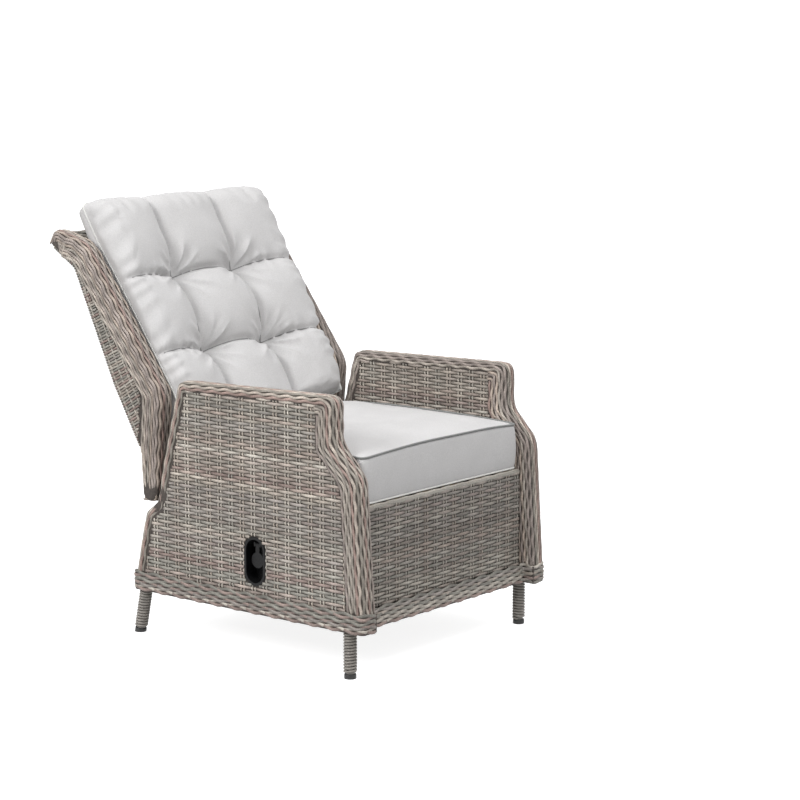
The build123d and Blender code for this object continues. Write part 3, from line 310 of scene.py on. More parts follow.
def plain_material(name, dark, light, rough, scale=180.0, metal=0.0, bump=0.2, shine=0.5):
    """A hard surface with fine variation in colour, roughness and relief."""
    material, tree, shader = new_material(name)
    place = tree.nodes.new("ShaderNodeTexCoord")
    noise = node(tree, "ShaderNodeTexNoise", Scale=scale, Detail=4.0, Roughness=0.55)
    tree.links.new(place.outputs["Object"], noise.inputs["Vector"])
    tree.links.new(
        ramp(tree, noise.outputs["Fac"], [(0.3, dark), (0.7, light)]), shader.inputs["Base Color"]
    )
    smooth, dull = rough - 0.06, rough + 0.08
    worn = node(tree, "ShaderNodeMapRange", From_Min=0.3, From_Max=0.7, To_Min=smooth, To_Max=dull)
    tree.links.new(noise.outputs["Fac"], worn.inputs["Value"])
    tree.links.new(worn.outputs["Result"], shader.inputs["Roughness"])
    shader.inputs["Metallic"].default_value = metal
    shader.inputs["Specular IOR Level"].default_value = shine
    add_bump(tree, shader, noise.outputs["Fac"], bump, 0.0004)
    return material


def fabric_material(name, dark, light):
    """Plain-woven outdoor cloth: crossed yarns, a melange of tones, a soft sheen."""
    material, tree, shader = new_material(name)
    place = tree.nodes.new("ShaderNodeTexCoord")
    yarns = {"wave_type": "BANDS", "Scale": 260.0, "Distortion": 1.2}
    warp = node(tree, "ShaderNodeTexWave", bands_direction="X", **yarns)
    weft = node(tree, "ShaderNodeTexWave", bands_direction="Z", **yarns)
    melange = node(tree, "ShaderNodeTexNoise", Scale=420.0, Detail=2.0, Roughness=0.7)
    cloud = node(tree, "ShaderNodeTexNoise", Scale=14.0, Detail=3.0)
    for made in (warp, weft, melange, cloud):
        tree.links.new(place.outputs["Object"], made.inputs["Vector"])
    yarn = node(tree, "ShaderNodeMath", operation="MAXIMUM")
    tree.links.new(warp.outputs["Fac"], yarn.inputs[0])
    tree.links.new(weft.outputs["Fac"], yarn.inputs[1])
    mixed = node(tree, "ShaderNodeMath", operation="MULTIPLY_ADD")
    tree.links.new(melange.outputs["Fac"], mixed.inputs[0])
    mixed.inputs[1].default_value = 0.7
    scaled = node(tree, "ShaderNodeMath", operation="MULTIPLY")
    tree.links.new(cloud.outputs["Fac"], scaled.inputs[0])
    scaled.inputs[1].default_value = 0.3
    tree.links.new(scaled.outputs[0], mixed.inputs[2])
    tree.links.new(ramp(tree, mixed.outputs[0], [(0.32, dark), (0.68, light)]), shader.inputs["Base Color"])
    shader.inputs["Roughness"].default_value = 0.9
    shader.inputs["Sheen Weight"].default_value = 0.25
    shader.inputs["Sheen Roughness"].default_value = 0.5
    shader.inputs["Specular IOR Level"].default_value = 0.15
    add_bump(tree, shader, yarn.outputs[0], 0.25, 0.0003)
    return material


wicker = wicker_material()
# The backing under the strands is near black: painted shade for the gaps deep in the weave.
weave_gap_shade = plain_material("wicker_backing_gap_shade", (0.030, 0.024, 0.020), (0.075, 0.062, 0.052), 0.8, 120.0, bump=0.5)
rim_gap_shade = plain_material("rim_backing_gap_shade", (0.035, 0.028, 0.024), (0.085, 0.07, 0.06), 0.75, 120.0, bump=0.5)
winding = plain_material("leg_winding", (0.20, 0.185, 0.165), (0.33, 0.305, 0.275), 0.5, 90.0, bump=0.4)
paint = plain_material("tube_coating", (0.20, 0.19, 0.175), (0.26, 0.245, 0.225), 0.45, 300.0, bump=0.15)
wood = plain_material("slat_plywood", (0.42, 0.31, 0.20), (0.56, 0.43, 0.29), 0.6, 60.0, bump=0.3)
black_cap = plain_material("black_cap", (0.012, 0.012, 0.012), (0.03, 0.03, 0.03), 0.5, 200.0, bump=0.2)
gloss = plain_material(
    "black_gloss", (0.003, 0.003, 0.0035), (0.006, 0.006, 0.0065), 0.38, 30.0, bump=0.02, shine=0.22
)
steel = plain_material(
    "zinc_steel", (0.42, 0.42, 0.43), (0.58, 0.58, 0.60), 0.35, 350.0, metal=1.0, bump=0.15
)
chrome = plain_material("rod_chrome", (0.62, 0.62, 0.64), (0.72, 0.72, 0.74), 0.1, 40.0, metal=1.0, bump=0.02)
black_metal = plain_material(
    "strut_black", (0.012, 0.012, 0.013), (0.025, 0.025, 0.027), 0.3, 150.0, bump=0.1
)
nylon = plain_material("nylon", (0.66, 0.65, 0.60), (0.76, 0.75, 0.70), 0.45, 200.0)
sheath = plain_material("cable_sheath", (0.018, 0.018, 0.018), (0.035, 0.035, 0.035), 0.45, 300.0)
cloth = fabric_material("cushion_cloth", (0.465, 0.458, 0.456), (0.575, 0.567, 0.565))
piping_dark = fabric_material("piping_dark", (0.17, 0.175, 0.17), (0.24, 0.245, 0.24))
# Cloth for the strips in the back cushion's channels: the sewn seam line, coloured dark as painted crease
# shade.
seam_shade_cloth = fabric_material("seam_shade_cloth", (0.19, 0.187, 0.184), (0.27, 0.267, 0.264))
piping_light = fabric_material("piping_light", (0.56, 0.56, 0.54), (0.70, 0.70, 0.67))

RIGID = {
    "wicker": weave_gap_shade,
    "cushion_fabric": cloth,
    "frame_paint": paint,
    "slat_wood": wood,
    "black_cap": black_cap,
    "black_gloss": gloss,
    "zinc_steel": steel,
    "rod_chrome": chrome,
    "black_metal": black_metal,
    "bush_plastic": nylon,
    "cable_sheath": sheath,
}
for part in frame["record"]["subparts"]:
    target = nodes[part["node"]]
    finish = RIGID[part["material_slot"]]
    if part["node"] == "leg_windings":
        finish = winding
    elif "rim" in part["node"] or "apron" in part["node"]:
        finish = rim_gap_shade
    target.data.materials.clear()
    target.data.materials.append(finish)


# ---------------------------------------------------------------- woven fields
def woven(bundle, polygon, place, normal, row=ROW, stake=STAKE, low=-1e9, high=1e9, holes=()):
    """A plain weave over a flat field. place(a, b, out) gives the point in space."""
    polygon = np.asarray(polygon)
    start, end = polygon[:, 0].min(), polygon[:, 0].max()
    bottom, top = max(polygon[:, 1].min(), low), min(polygon[:, 1].max(), high)
    middle = (start + end) / 2
    normal = np.asarray(normal, float)

    def kept(line):
        mask = inside(line, polygon)
        for hole in holes:
            mask &= ~inside(line, hole)
        return mask

    stops = np.arange(start, end, stake / 6)
    band = TONES[0]
    for index, level in enumerate(np.arange(bottom + row / 2, top, row)):
        wander = level + 0.5 * np.sin(stops / 61 + index) + rng.uniform(-0.35, 0.35)
        out = 0.4 + 1.7 * np.cos(pi * (stops - middle) / stake + index * pi)
        if index % 3 == 0:
            band = TONES[rng.integers(len(TONES))]
        tone = (0.6 * band + 0.4 * TONES[rng.integers(len(TONES))]) * rng.uniform(0.84, 1.14)
        for first, last in runs(kept(np.c_[stops, wander])):
            if last - first < 3:
                continue
            here = slice(first, last)
            path = place(stops[here], wander[here], out[here])
            # Painted shade: a row's colour is darker where it dives under a stake and lighter where it rides
            # over.
            painted_dive_shade = 0.50 + 0.52 * ((out[here] + 1.3) / 3.4) ** 0.8
            facing = np.tile(normal, (last - first, 1))
            bundle.strand(path, facing, row * 0.93, 2.0, tone=tone, painted_shade=painted_dive_shade)
    heights = np.arange(bottom, top, row / 2)
    columns = np.arange(middle - stake * int((middle - start) / stake), end, stake)
    for count, column in enumerate(columns):
        turn = int(round((column - middle) / stake))
        out = 0.45 - 1.35 * np.cos(pi * turn + pi * (heights - bottom - row / 2) / row)
        for side in (-TWIN, TWIN):
            line = np.c_[np.full(len(heights), column + side), heights]
            for first, last in runs(kept(line)):
                if last - first < 3:
                    continue
                here = slice(first, last)
                path = place(line[here, 0], line[here, 1], out[here])
                tone = TONES[[0, 3, 5][count % 3]] * rng.uniform(0.95, 1.2)
                # Painted shade: a stake's colour is darker where it dives under a row.
                painted_dive_shade = 0.60 + 0.50 * (out[here] + 0.9) / 2.7
                facing = np.tile(normal, (last - first, 1))
                bundle.strand(path, facing, 5.0, 1.9, section=3, tone=tone, painted_shade=painted_dive_shade)


def strand_set(bundle, lines, width, height, swing=1.5, period=46.0, tuck=False):
    """Lengthwise strands that press against and part from each other in turn."""
    for index, (path, normals, sideways) in enumerate(lines):
        lengths = np.r_[0, np.cumsum(np.linalg.norm(np.diff(path, axis=0), axis=1))]
        phase = 2 * pi * lengths / period + pi * (index % 2) + 0.5 * index
        wobble = swing * np.sin(phase)
        lift = 0.5 * np.cos(phase + 0.8) + 0.1
        near_hinge = np.exp(-(((path[:, 2] - 330) / 58) ** 2)) * (path[:, 1] > 90)
        lift -= 3.5 * near_hinge
        if tuck:
            ends = np.minimum(lengths, lengths[-1] - lengths)
            lift -= 4.0 * np.exp(-ends / 9.0)
        moved = path + sideways * wobble[:, None] + normals * lift[:, None]
        # Painted shade and light: each strand is darker where it sinks and lighter where it lifts.
        bundle.strand(moved, normals, width, height, section=5, painted_shade=0.86 + 0.2 * np.cos(phase + 0.8))


panel_field = inset(PANEL, [width - 4 for width in FIELD])
cup = np.array(
    [
        (FRONT + 320 + 32 * sin(a), 229 + (24.5 if cos(a) > 0 else -24.5) + 32 * cos(a))
        for a in np.linspace(0, 2 * pi, 40, endpoint=False)
    ]
)
for side, word in ((-1, "right"), (1, "left")):
    outer = Bundle(f"{word}_outer_strands", "base")
    face = OUT - 1.5
    woven(
        outer,
        panel_field,
        lambda a, b, o: np.c_[np.full(len(a), side * face) + side * o, a, b],
        (side, 0, 0),
        holes=[cup] if side < 0 else [],
    )
    outer.build(wicker)
    inner = Bundle(f"{word}_inner_strands", "base", 0.84)
    woven(
        inner,
        panel_field,
        lambda a, b, o: np.c_[side * (IN + 1.5) - side * o, a, b],
        (-side, 0, 0),
        low=392,
    )
    inner.build(wicker)

# The front panel strands are darkened to 0.72: painted shade under the seat cushion.
front_strands = Bundle("front_panel_strands", "base", 0.72)
front_field = [(-SPAN, APRON_TOP), (-SPAN, SEAT_EDGE), (SPAN, SEAT_EDGE), (SPAN, APRON_TOP)]
woven(
    front_strands,
    front_field,
    lambda a, b, o: np.c_[a, FRONT_FACE - o, b],
    (0, -1, 0),
)
along = np.arange(-288, 288.1, 7.0)
for lift, back in ((376.0, 0.0), (380.0, 3.0)):
    turn = np.array([0, -1.0, 0]) if back == 0 else np.array([0, -0.5, 0.866])
    path = np.c_[along, np.full(len(along), FRONT_FACE - 0.5 + back), lift + 0.7 * np.sin(along / 8)]
    front_strands.strand(path, np.tile(turn, (len(along), 1)), 6.5, 2.2, section=5)
front_strands.build(wicker)
rear_strands = Bundle("rear_panel_strands", "base")
heel_slope = (BASE_DEPTH - HEEL_DEPTH) / (HEEL_HEIGHT - FOOT)
woven(
    rear_strands,
    [(-SPAN, APRON_TOP), (-SPAN, HEEL_HEIGHT - 5), (SPAN, HEEL_HEIGHT - 5), (SPAN, APRON_TOP)],
    lambda a, b, o: np.c_[a, FRONT + BASE_DEPTH - heel_slope * (b - FOOT) + o, b],
    (0, 0.978, 0.208),
)
rear_strands.build(wicker)


# ---------------------------------------------------------------- rims of the side panels
def edge_lines(points, radii, side, places, keep, first=0, last=None):
    """Lengthwise strands round the edge of a panel. A place is (inset share, x, turn)."""
    lines = []
    points = [np.array(point, float) for point in points]
    last = len(points) if last is None else last
    for inward, x, facing in places:
        corners = inset(points, [inward] * len(points))
        path = rounded(corners[first:last], [max(r - inward * 0.8, 3) for r in radii][first:last])
        mask = keep(path)
        for start, end in runs(mask):
            if end - start < 4:
                continue
            run = path[start:end]
            way = np.gradient(run, axis=0)
            way /= np.linalg.norm(way, axis=1, keepdims=True)
            outward = np.c_[np.zeros(len(run)), -way[:, 1], way[:, 0]]
            normal = outward * cos(facing) + np.array([side, 0, 0]) * sin(facing)
            sideways = outward * -sin(facing) + np.array([side, 0, 0]) * cos(facing)
            lines.append((np.c_[np.full(len(run), side * x), run], normal, sideways))
    return lines


def places_across(width_out, width_in, pitch=7.2, corner=12.0):
    """Where the strands lie across a rim: outer face, round the edge, inner face."""
    result = []
    face = np.arange(pitch / 2 + 2, width_out - 2, pitch)
    for inward in face[face > corner * 0.8][::-1]:
        result.append((inward, OUT, pi / 2))
    for angle in (0.3, 0.7):
        turn = pi / 2 * (1 - angle)
        result.append((corner * (1 - cos(turn)), OUT - corner * (1 - sin(turn)), turn))
    for x in np.arange(OUT - corner - 2, IN + corner, -pitch):
        result.append((0.0, x, 0.0))
    for angle in (0.3, 0.7):
        turn = pi / 2 * angle
        result.append((corner * (1 - cos(turn)), IN + corner * (1 - sin(turn)), -turn))
    for inward in face[(face > corner * 0.8) & (face < width_in)]:
        result.append((inward, IN, -pi / 2))
    return result


arm_corner_y = FRONT + 90
for side, word in ((-1, "right"), (1, "left")):
    rims = Bundle(f"{word}_rim_strands", "base", RIM_DIM)
    thin = places_across(19, 19)
    strand_set(
        rims,
        edge_lines(PANEL, PANEL_ROUND, side, thin, lambda p: p[:, 1] > APRON_TOP - 2),
        *RIM_STRAND,
    )
    wide = [place for place in places_across(46, 46) if place[0] > 19]
    strand_set(
        rims,
        edge_lines(
            PANEL,
            PANEL_ROUND,
            side,
            wide,
            lambda p: (p[:, 1] > APRON_TOP - 2) & (p[:, 0] < arm_corner_y + 52) & (p[:, 1] < 607),
            last=5,
        ),
        *RIM_STRAND,
        tuck=True,
    )
    rear = [place for place in places_across(29, 29) if place[0] > 19]
    strand_set(
        rims,
        edge_lines(
            PANEL,
            PANEL_ROUND,
            side,
            rear,
            lambda p: (p[:, 1] > APRON_TOP - 2) & (p[:, 0] > FRONT + 500) & (p[:, 1] < 600),
            first=3,
        ),
        *RIM_STRAND,
        tuck=True,
    )
    rims.build(wicker)

# ---------------------------------------------------------------- aprons
APRON_LEVELS = [113.5, 124.0, 134.5, 145.0]
for side, word in ((-1, "right"), (1, "left")):
    band = Bundle(f"{word}_apron_strands", "base", 0.80)
    corners = [
        (side * (IN - 12), FRONT + 31),
        (side * (IN - 1), FRONT + 28),
        (side * (IN - 1), FRONT),
        (side * (OUT + 3), FRONT),
        (side * (OUT + 3), FRONT + BASE_DEPTH),
        (side * IN, FRONT + BASE_DEPTH),
    ]
    plan = rounded(corners, [0, 14, 12, 14, 14, 0], step=6.0)
    lines = []
    for level in APRON_LEVELS:
        way = np.gradient(plan, axis=0)
        way /= np.linalg.norm(way, axis=1, keepdims=True)
        outward = side * np.c_[way[:, 1], -way[:, 0], np.zeros(len(plan))]
        up = np.tile([0, 0, 1.0], (len(plan), 1))
        lines.append((np.c_[plan - outward[:, :2] * 0.8, np.full(len(plan), level)], outward, up))
        lines.append((np.c_[plan - outward[:, :2] * 1.4, np.full(len(plan), level + 5)], outward, up))
    strand_set(band, lines, *APRON_STRAND, swing=2.6, period=58.0)
    band.build(wicker)
for word, y, facing in (("front", FRONT_APRON, -1), ("rear", FRONT + BASE_DEPTH, 1)):
    band = Bundle(f"{word}_apron_strands", "base", 0.80)
    lines = []
    along = np.arange(-SPAN, SPAN + 0.1, 7.0)
    for level in APRON_LEVELS:
        for lift, back in ((0, 0.8), (5, 1.4)):
            path = np.c_[along, np.full(len(along), y - facing * back), np.full(len(along), level + lift)]
            lines.append(
                (path, np.tile([0, facing, 0.0], (len(along), 1)), np.tile([0, 0, 1.0], (len(along), 1)))
            )
    strand_set(band, lines, *APRON_STRAND, swing=2.6, period=58.0)
    band.build(wicker)

# ---------------------------------------------------------------- wings and the back
for side, word in ((-1, "right"), (1, "left")):
    rims = Bundle(f"{word}_wing_rim_strands", "backrest", RIM_DIM)
    across = places_across(51, 26)
    outline, corners = WING[-1:] + WING[:-1], WING_ROUND[-1:] + WING_ROUND[:-1]
    on_edge = [place for place in across if place[0] < 6]
    strand_set(rims, edge_lines(outline, corners, side, on_edge, lambda p: p[:, 1] > 0, last=6), *WING_STRAND)
    front_part = inset(WING, [-1, -1, -1, -1, -1, -1, 3, 19, -1])
    on_face = [place for place in across if place[0] >= 6]
    strand_set(
        rims,
        edge_lines(outline, corners, side, on_face, lambda p: inside(p, front_part), last=6),
        *WING_STRAND,
        tuck=True,
    )
    heel, heel_round = [WING[6], WING[7], WING[8], WING[0]], [0, 60, 21, 0]
    strand_set(
        rims,
        edge_lines(heel, heel_round, side, places_across(18, 18), lambda p: p[:, 1] < HINGE[1] + 112, last=3),
        *WING_STRAND,
        tuck=True,
    )
    rims.build(wicker)
    field = Bundle(f"{word}_wing_strands", "backrest", 0.72)
    spine = rounded([WING[4], WING[5], WING[6], WING[7], WING[8]], [0, 30, 120, 60, 0], step=6.6)
    inner_edge = inset(WING, WING_FIELD[:3] + [0, -20, -20, -20, -20, 82])
    way = np.gradient(spine, axis=0)
    way /= np.linalg.norm(way, axis=1, keepdims=True)
    inward = np.c_[way[:, 1], -way[:, 0]]
    for index, (point, into) in enumerate(zip(spine, inward)):
        reach = np.arange(0, 150, 5.0)
        line = point + into * reach[:, None]
        mask = inside(line + into * 0.5, inner_edge)
        if not mask.any():
            continue
        stop = runs(mask)[0][1]
        phase = index * pi
        back = np.arange(IN + 2, OUT - 8, 5.0)
        lift = 0.5 + 1.1 * np.cos(pi * back / 22 + phase)
        rear_path = np.c_[side * back, point - into * lift[:, None]]
        corner = np.c_[[side * (OUT - 3), side * OUT], [point + into * 2, point + into * 8]]
        flat = line[2:stop]
        lift_flat = 0.5 + 1.1 * np.cos(pi * (OUT + reach[2:stop]) / 22 + phase)
        flat_path = np.c_[side * (OUT - 0.2 + lift_flat), flat]
        path = np.concatenate([rear_path, corner, flat_path])
        outward = np.r_[0, -into[0], -into[1]]
        normals = np.concatenate(
            [
                np.tile(outward, (len(rear_path), 1)),
                np.tile((outward + np.array([side, 0, 0])) * 0.7071, (2, 1)),
                np.tile([side, 0, 0], (len(flat_path), 1)),
            ]
        )
        field.strand(path, normals, 6.0, 1.9)
    for reach in (14, 36, 58, 80, 102):
        line = spine + inward * reach
        mask = inside(line, inner_edge)
        for first, last in runs(mask):
            if last - first < 4:
                continue
            count = np.arange(first, last)
            lift = 0.6 - 1.2 * np.cos(pi * (OUT + reach) / 22 + count * pi)
            path = np.c_[side * (OUT - 0.2 + lift), line[first:last]]
            field.strand(path, np.tile([side, 0, 0], (last - first, 1)), 7.0, 1.8, section=3, tone=TONES[5])
    field.build(wicker)

back_field = Bundle("back_panel_strands", "backrest")
profile = rounded([WING[4], WING[5], WING[6], WING[7], (WING[8][0], 353)], [0, 30, 120, 60, 0], step=8.0)
way = np.gradient(profile, axis=0)
way /= np.linalg.norm(way, axis=1, keepdims=True)
outward = np.c_[-way[:, 1], way[:, 0]]
along = np.arange(-288, 288.1, STAKE / 5)
for index, (point, out) in enumerate(zip(profile[3:], outward[3:])):
    lift = 0.4 + 1.25 * np.cos(pi * along / STAKE + index * pi)
    path = np.c_[along, point + out * lift[:, None]]
    back_field.strand(path, np.tile([0, out[0], out[1]], (len(along), 1)), 7.2, 2.0)
fine = resample(profile[3:], 4.0)
fine_way = np.gradient(fine, axis=0)
fine_way /= np.linalg.norm(fine_way, axis=1, keepdims=True)
fine_out = np.c_[-fine_way[:, 1], fine_way[:, 0]]
for turn in range(-8, 9):
    lift = 0.45 - 1.35 * np.cos(pi * turn + pi * np.arange(len(fine)) / 2)
    for shift in (-TWIN, TWIN):
        path = np.c_[np.full(len(fine), turn * STAKE + shift), fine + fine_out * lift[:, None]]
        normals = np.c_[np.zeros(len(fine)), fine_out]
        back_field.strand(path, normals, 5.4, 1.9, section=3, tone=TONES[[0, 3, 5][turn % 3]])
back_field.build(wicker)

lip = inset(WING, [19] * 9)[4]
top_roll = Bundle("top_roll_strands", "backrest")
along = np.arange(-SPAN, SPAN + 0.1, 8.0)
lines = []
for angle in np.arange(-100, 201, 22.5):
    a = radians(angle)
    normal = np.array([0, cos(a), sin(a)])
    sideways = np.array([0, -sin(a), cos(a)])
    centre = np.array([0, *lip]) + normal * 18.2
    path = np.c_[along, np.tile(centre[1:], (len(along), 1))]
    lines.append((path, np.tile(normal, (len(along), 1)), np.tile(sideways, (len(along), 1))))
strand_set(top_roll, lines, 7.8, 2.8)
top_roll.build(wicker)


# ---------------------------------------------------------------- cushions
def grid_mesh(name, sheets):
    """A closed mesh from point grids that share their borders."""
    points, faces, base = [], [], 0
    for sheet, flip in sheets:
        rows, columns = sheet.shape[:2]
        points.append(sheet.reshape(-1, 3))
        index = np.arange(rows * columns).reshape(rows, columns) + base
        quads = np.stack([index[:-1, :-1], index[:-1, 1:], index[1:, 1:], index[1:, :-1]], 2).reshape(-1, 4)
        faces.append(quads[:, ::-1] if flip else quads)
        base += rows * columns
    mesh = bpy.data.meshes.new(name)
    mesh.from_pydata((np.concatenate(points) * MM).tolist(), [], np.concatenate(faces).tolist())
    piece = bpy.data.objects.new(name, mesh)
    bpy.context.scene.collection.objects.link(piece)
    bpy.context.view_layer.objects.active = piece
    piece.select_set(True)
    work = bmesh.new()
    work.from_mesh(mesh)
    bmesh.ops.remove_doubles(work, verts=work.verts, dist=0.0006)
    bmesh.ops.recalc_face_normals(work, faces=work.faces)
    work.to_mesh(mesh)
    work.free()
    mesh.polygons.foreach_set("use_smooth", [True] * len(mesh.polygons))
    return piece


def coordinates(piece):
    """The points of a mesh, in metres."""
    values = np.empty(len(piece.data.vertices) * 3)
    piece.data.vertices.foreach_get("co", values)
    return values.reshape(-1, 3)


def inflate(piece, hold, cap, frames=20, pressure=4.0, voxel=0.006):
    """Remesh, swell as cloth with some points held, and apply the result."""
    piece.data.remesh_voxel_size = voxel
    bpy.ops.object.select_all(action="DESELECT")
    piece.select_set(True)
    bpy.context.view_layer.objects.active = piece
    bpy.ops.object.voxel_remesh()
    start = coordinates(piece)
    weights = hold(start / MM)
    group = piece.vertex_groups.new(name="hold")
    for level in np.unique(np.round(weights, 1)):
        if level > 0:
            group.add(np.where(np.round(weights, 1) == level)[0].tolist(), float(level), "REPLACE")
    modifier = piece.modifiers.new("swell", "CLOTH")
    settings = modifier.settings
    settings.quality = 5
    settings.mass = 0.3
    settings.tension_stiffness = 12
    settings.compression_stiffness = 12
    settings.bending_stiffness = 0.4
    settings.use_pressure = True
    settings.uniform_pressure_force = pressure
    settings.vertex_group_mass = "hold"
    settings.pin_stiffness = 1.0
    settings.effector_weights.gravity = 0.0
    modifier.collision_settings.use_collision = False
    modifier.collision_settings.use_self_collision = False
    modifier.point_cache.frame_start, modifier.point_cache.frame_end = 1, frames
    scene = bpy.context.scene
    for number in range(1, frames + 1):
        scene.frame_set(number)
    shaped = piece.evaluated_get(bpy.context.evaluated_depsgraph_get())
    moved = np.empty(len(start) * 3)
    shaped.data.vertices.foreach_get("co", moved)
    moved = moved.reshape(-1, 3)
    shift = moved - start
    length = np.linalg.norm(shift, axis=1, keepdims=True) + 1e-12
    shift *= np.minimum(1, cap * MM / length)
    piece.modifiers.remove(modifier)
    piece.vertex_groups.clear()
    scene.frame_set(1)
    piece.data.vertices.foreach_set("co", (start + shift).ravel())
    piece.data.polygons.foreach_set("use_smooth", [True] * len(piece.data.polygons))
    piece.data.update()


def dress(piece, material, body, node_name):
    """Cloth, body and what the cushion stands for."""
    piece.data.materials.append(material)
    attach(piece, body)
    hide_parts(node_name)


def piping(name, path, radius, material, body, closed=True):
    """A corded seam: a round welt along a closed line."""
    bundle = Bundle(name, body)
    path = resample(np.asarray(path), 6.0)
    if closed:
        path[-1] = path[0]
    way = np.gradient(path, axis=0)
    if closed:
        way[0] = way[-1] = path[1] - path[-2]
    way /= np.linalg.norm(way, axis=1, keepdims=True)
    up = np.tile([0.0, 0.0, 1.0], (len(path), 1))
    up[np.abs(way[:, 2]) > 0.8] = [0, -1, 0]
    up = up - way * np.sum(up * way, 1, keepdims=True)
    up /= np.linalg.norm(up, axis=1, keepdims=True)
    thick = 2 * radius
    bundle.strand(path - up * radius, up, thick, thick, section=6, tone=(0.6, 0.6, 0.58), closed=closed)
    piece = bundle.build(material)
    return piece


def arc_rise(distance, width):
    """A round shoulder: 0 at the seam, 1 at this width from it and beyond."""
    return np.sqrt(1 - (1 - np.clip(distance / width, 0, 1)) ** 2)


def uneven(a, b):
    """Slow unevenness of a filled cushion, about -1 to 1."""
    return (np.sin(a / 31 + 1.3 * np.sin(b / 47)) + np.sin(b / 27 + 1.1 * np.sin(a / 53) + 2)) / 2


# Seat cushion
SEAT_Y = FRONT + 42 + 285
DECK = 381.6
SEAT_HALF = 287.0


def seat_ring(height, inward, count=44, corner=22.0):
    """A level line round the seat cushion."""
    half, radius = SEAT_HALF - inward, max(corner - inward * 0.6, 6.0)
    line = []
    for quarter in range(4):
        turn = quarter * pi / 2
        straight = np.linspace(-(half - radius), half - radius, count)
        bend = np.linspace(0, pi / 2, 8)[1:-1]
        x = np.r_[straight, half - radius + radius * np.sin(bend)]
        y = np.r_[np.full(count, -half), -half + radius - radius * np.cos(bend)]
        line.append(np.c_[x * cos(turn) - y * sin(turn), x * sin(turn) + y * cos(turn)])
    line = np.concatenate(line)
    u, v = line[:, 0] / half, line[:, 1] / half
    drawn = 3.0 * (1 - np.minimum(np.abs(u), np.abs(v)) ** 2)
    line = line * (1 - drawn / half)[:, None]
    return np.c_[line[:, 0], SEAT_Y + line[:, 1], np.full(len(line), DECK + height)]


def seam_bow(ring):
    """Lift of the top seam between its corners."""
    u, v = ring[:, 0] / SEAT_HALF, (ring[:, 1] - SEAT_Y) / SEAT_HALF
    least = np.minimum(np.abs(u), np.abs(v))
    return (4.0 + 8.0 * (1 - least**2.5)) * (1 - 0.9 * np.clip(v, 0, 1) ** 4)


def seam_wave(ring):
    """A slight wave of the top seam."""
    return 0.7 * np.sin(ring[:, 0] / 43) * np.cos(ring[:, 1] / 51)


def seat_cushion():
    """A boxed cushion with a crowned top and two corded seams."""
    levels = [(0, 200), (0, 120), (0, 60), (0.3, 24), (2.0, 9), (5, 5), (12, 2.5)]
    levels += [(30, 0.5), (52, 0), (75, 1), (94, 3), (101, 5.5)]
    rings = []
    for height, inward in levels:
        ring = seat_ring(height, inward)
        share = np.clip(height / 101, 0, 1)
        ring[:, 2] += seam_bow(ring) * share**2 + share * seam_wave(ring)
        rings.append(ring)
    for share in np.linspace(0, 1, 34)[1:-1]:
        ring = seat_ring(102, 5.5 + share * 278)
        edge = seam_bow(ring) * (1 - share) ** 1.6
        dome = 28.0 * (1 - (1 - min(1.0, share / 0.85)) ** 2.6)
        pucker = 1.4 * np.sin(ring[:, 0] / 9 + np.sin(ring[:, 0] / 40)) * np.exp(-share * 22)
        ring[:, 2] += edge + dome + pucker + 1.6 * uneven(ring[:, 0], ring[:, 1]) * min(1, share * 5)
        ring[:, 2] -= min(1, share * 4) * 12 * np.clip(ring[:, 1] / 100, 0, 1) ** 1.3
        rings.append(ring)
    grid = np.stack(rings, 0)
    grid = np.concatenate([grid, grid[:, :1]], 1)
    top = np.tile(grid[-1, :-1].mean(0), (grid.shape[1], 1))
    low = np.tile(np.array([[0, SEAT_Y, DECK]]), (grid.shape[1], 1))
    piece = grid_mesh("seat_cushion_body", [(np.concatenate([low[None], grid, top[None]], 0), False)])

    def hold(points):
        deep = np.clip((DECK + 5 - points[:, 2]) / 4, 0, 1)
        side = np.maximum(np.abs(points[:, 0]), np.abs(points[:, 1] - SEAT_Y))
        seam = (side > SEAT_HALF - 12) & (points[:, 2] > DECK + 92)
        return np.maximum(np.maximum(deep, 0.9 * seam), 0.5 * (side > SEAT_HALF - 6))

    inflate(piece, hold, 4.0, frames=12)
    dress(piece, cloth, "base", "seat_cushion")
    ring = seat_ring(102.5, 4.5)
    ring[:, 2] += seam_bow(ring) + seam_wave(ring)
    piping("seat_piping_top", np.r_[ring, ring[:1]], 2.5, piping_dark, "base")
    ring = seat_ring(4.8, 4.0)
    piping("seat_piping_low", np.r_[ring, ring[:1]], 2.2, piping_light, "base")


seat_cushion()

# Back cushion
LEAN = radians(27)
ROOT = HINGE + np.array([87.7, 252.4])
LOW, HIGH = -136.0, 424.0
HALF = 281.0
TUFTS = [(-105, 21), (105, 21), (-105, 217), (105, 217)]


def on_back(x, s, t):
    """A point x across, s up and t out of the backrest."""
    return np.stack([x, ROOT[0] + s * sin(LEAN) - t * cos(LEAN), ROOT[1] + s * cos(LEAN) + t * sin(LEAN)], -1)


def off_back(points):
    """How far up and out of the backrest these points are."""
    y, z = points[:, 1] - ROOT[0], points[:, 2] - ROOT[1]
    return y * sin(LEAN) + z * cos(LEAN), -y * cos(LEAN) + z * sin(LEAN)


def edge_depth(s):
    """Depth of the piped border seam."""
    return np.interp(s, [LOW, -73, 331, HIGH], [102, 100, 38, 30])


def channel_line(s):
    """How far the upright channels stand from the middle."""
    return 105 + 7 * np.sin(pi * (s - 21) / 196) * ((s > 21) & (s < 217))


def channel_arch(x):
    """How the level channels rise between the tufts."""
    ax = np.abs(x)
    return np.where(ax < 105, 9 * np.cos(pi * x / 210), 7 * np.sin(pi * np.clip((ax - 105) / 178, 0, 1)))


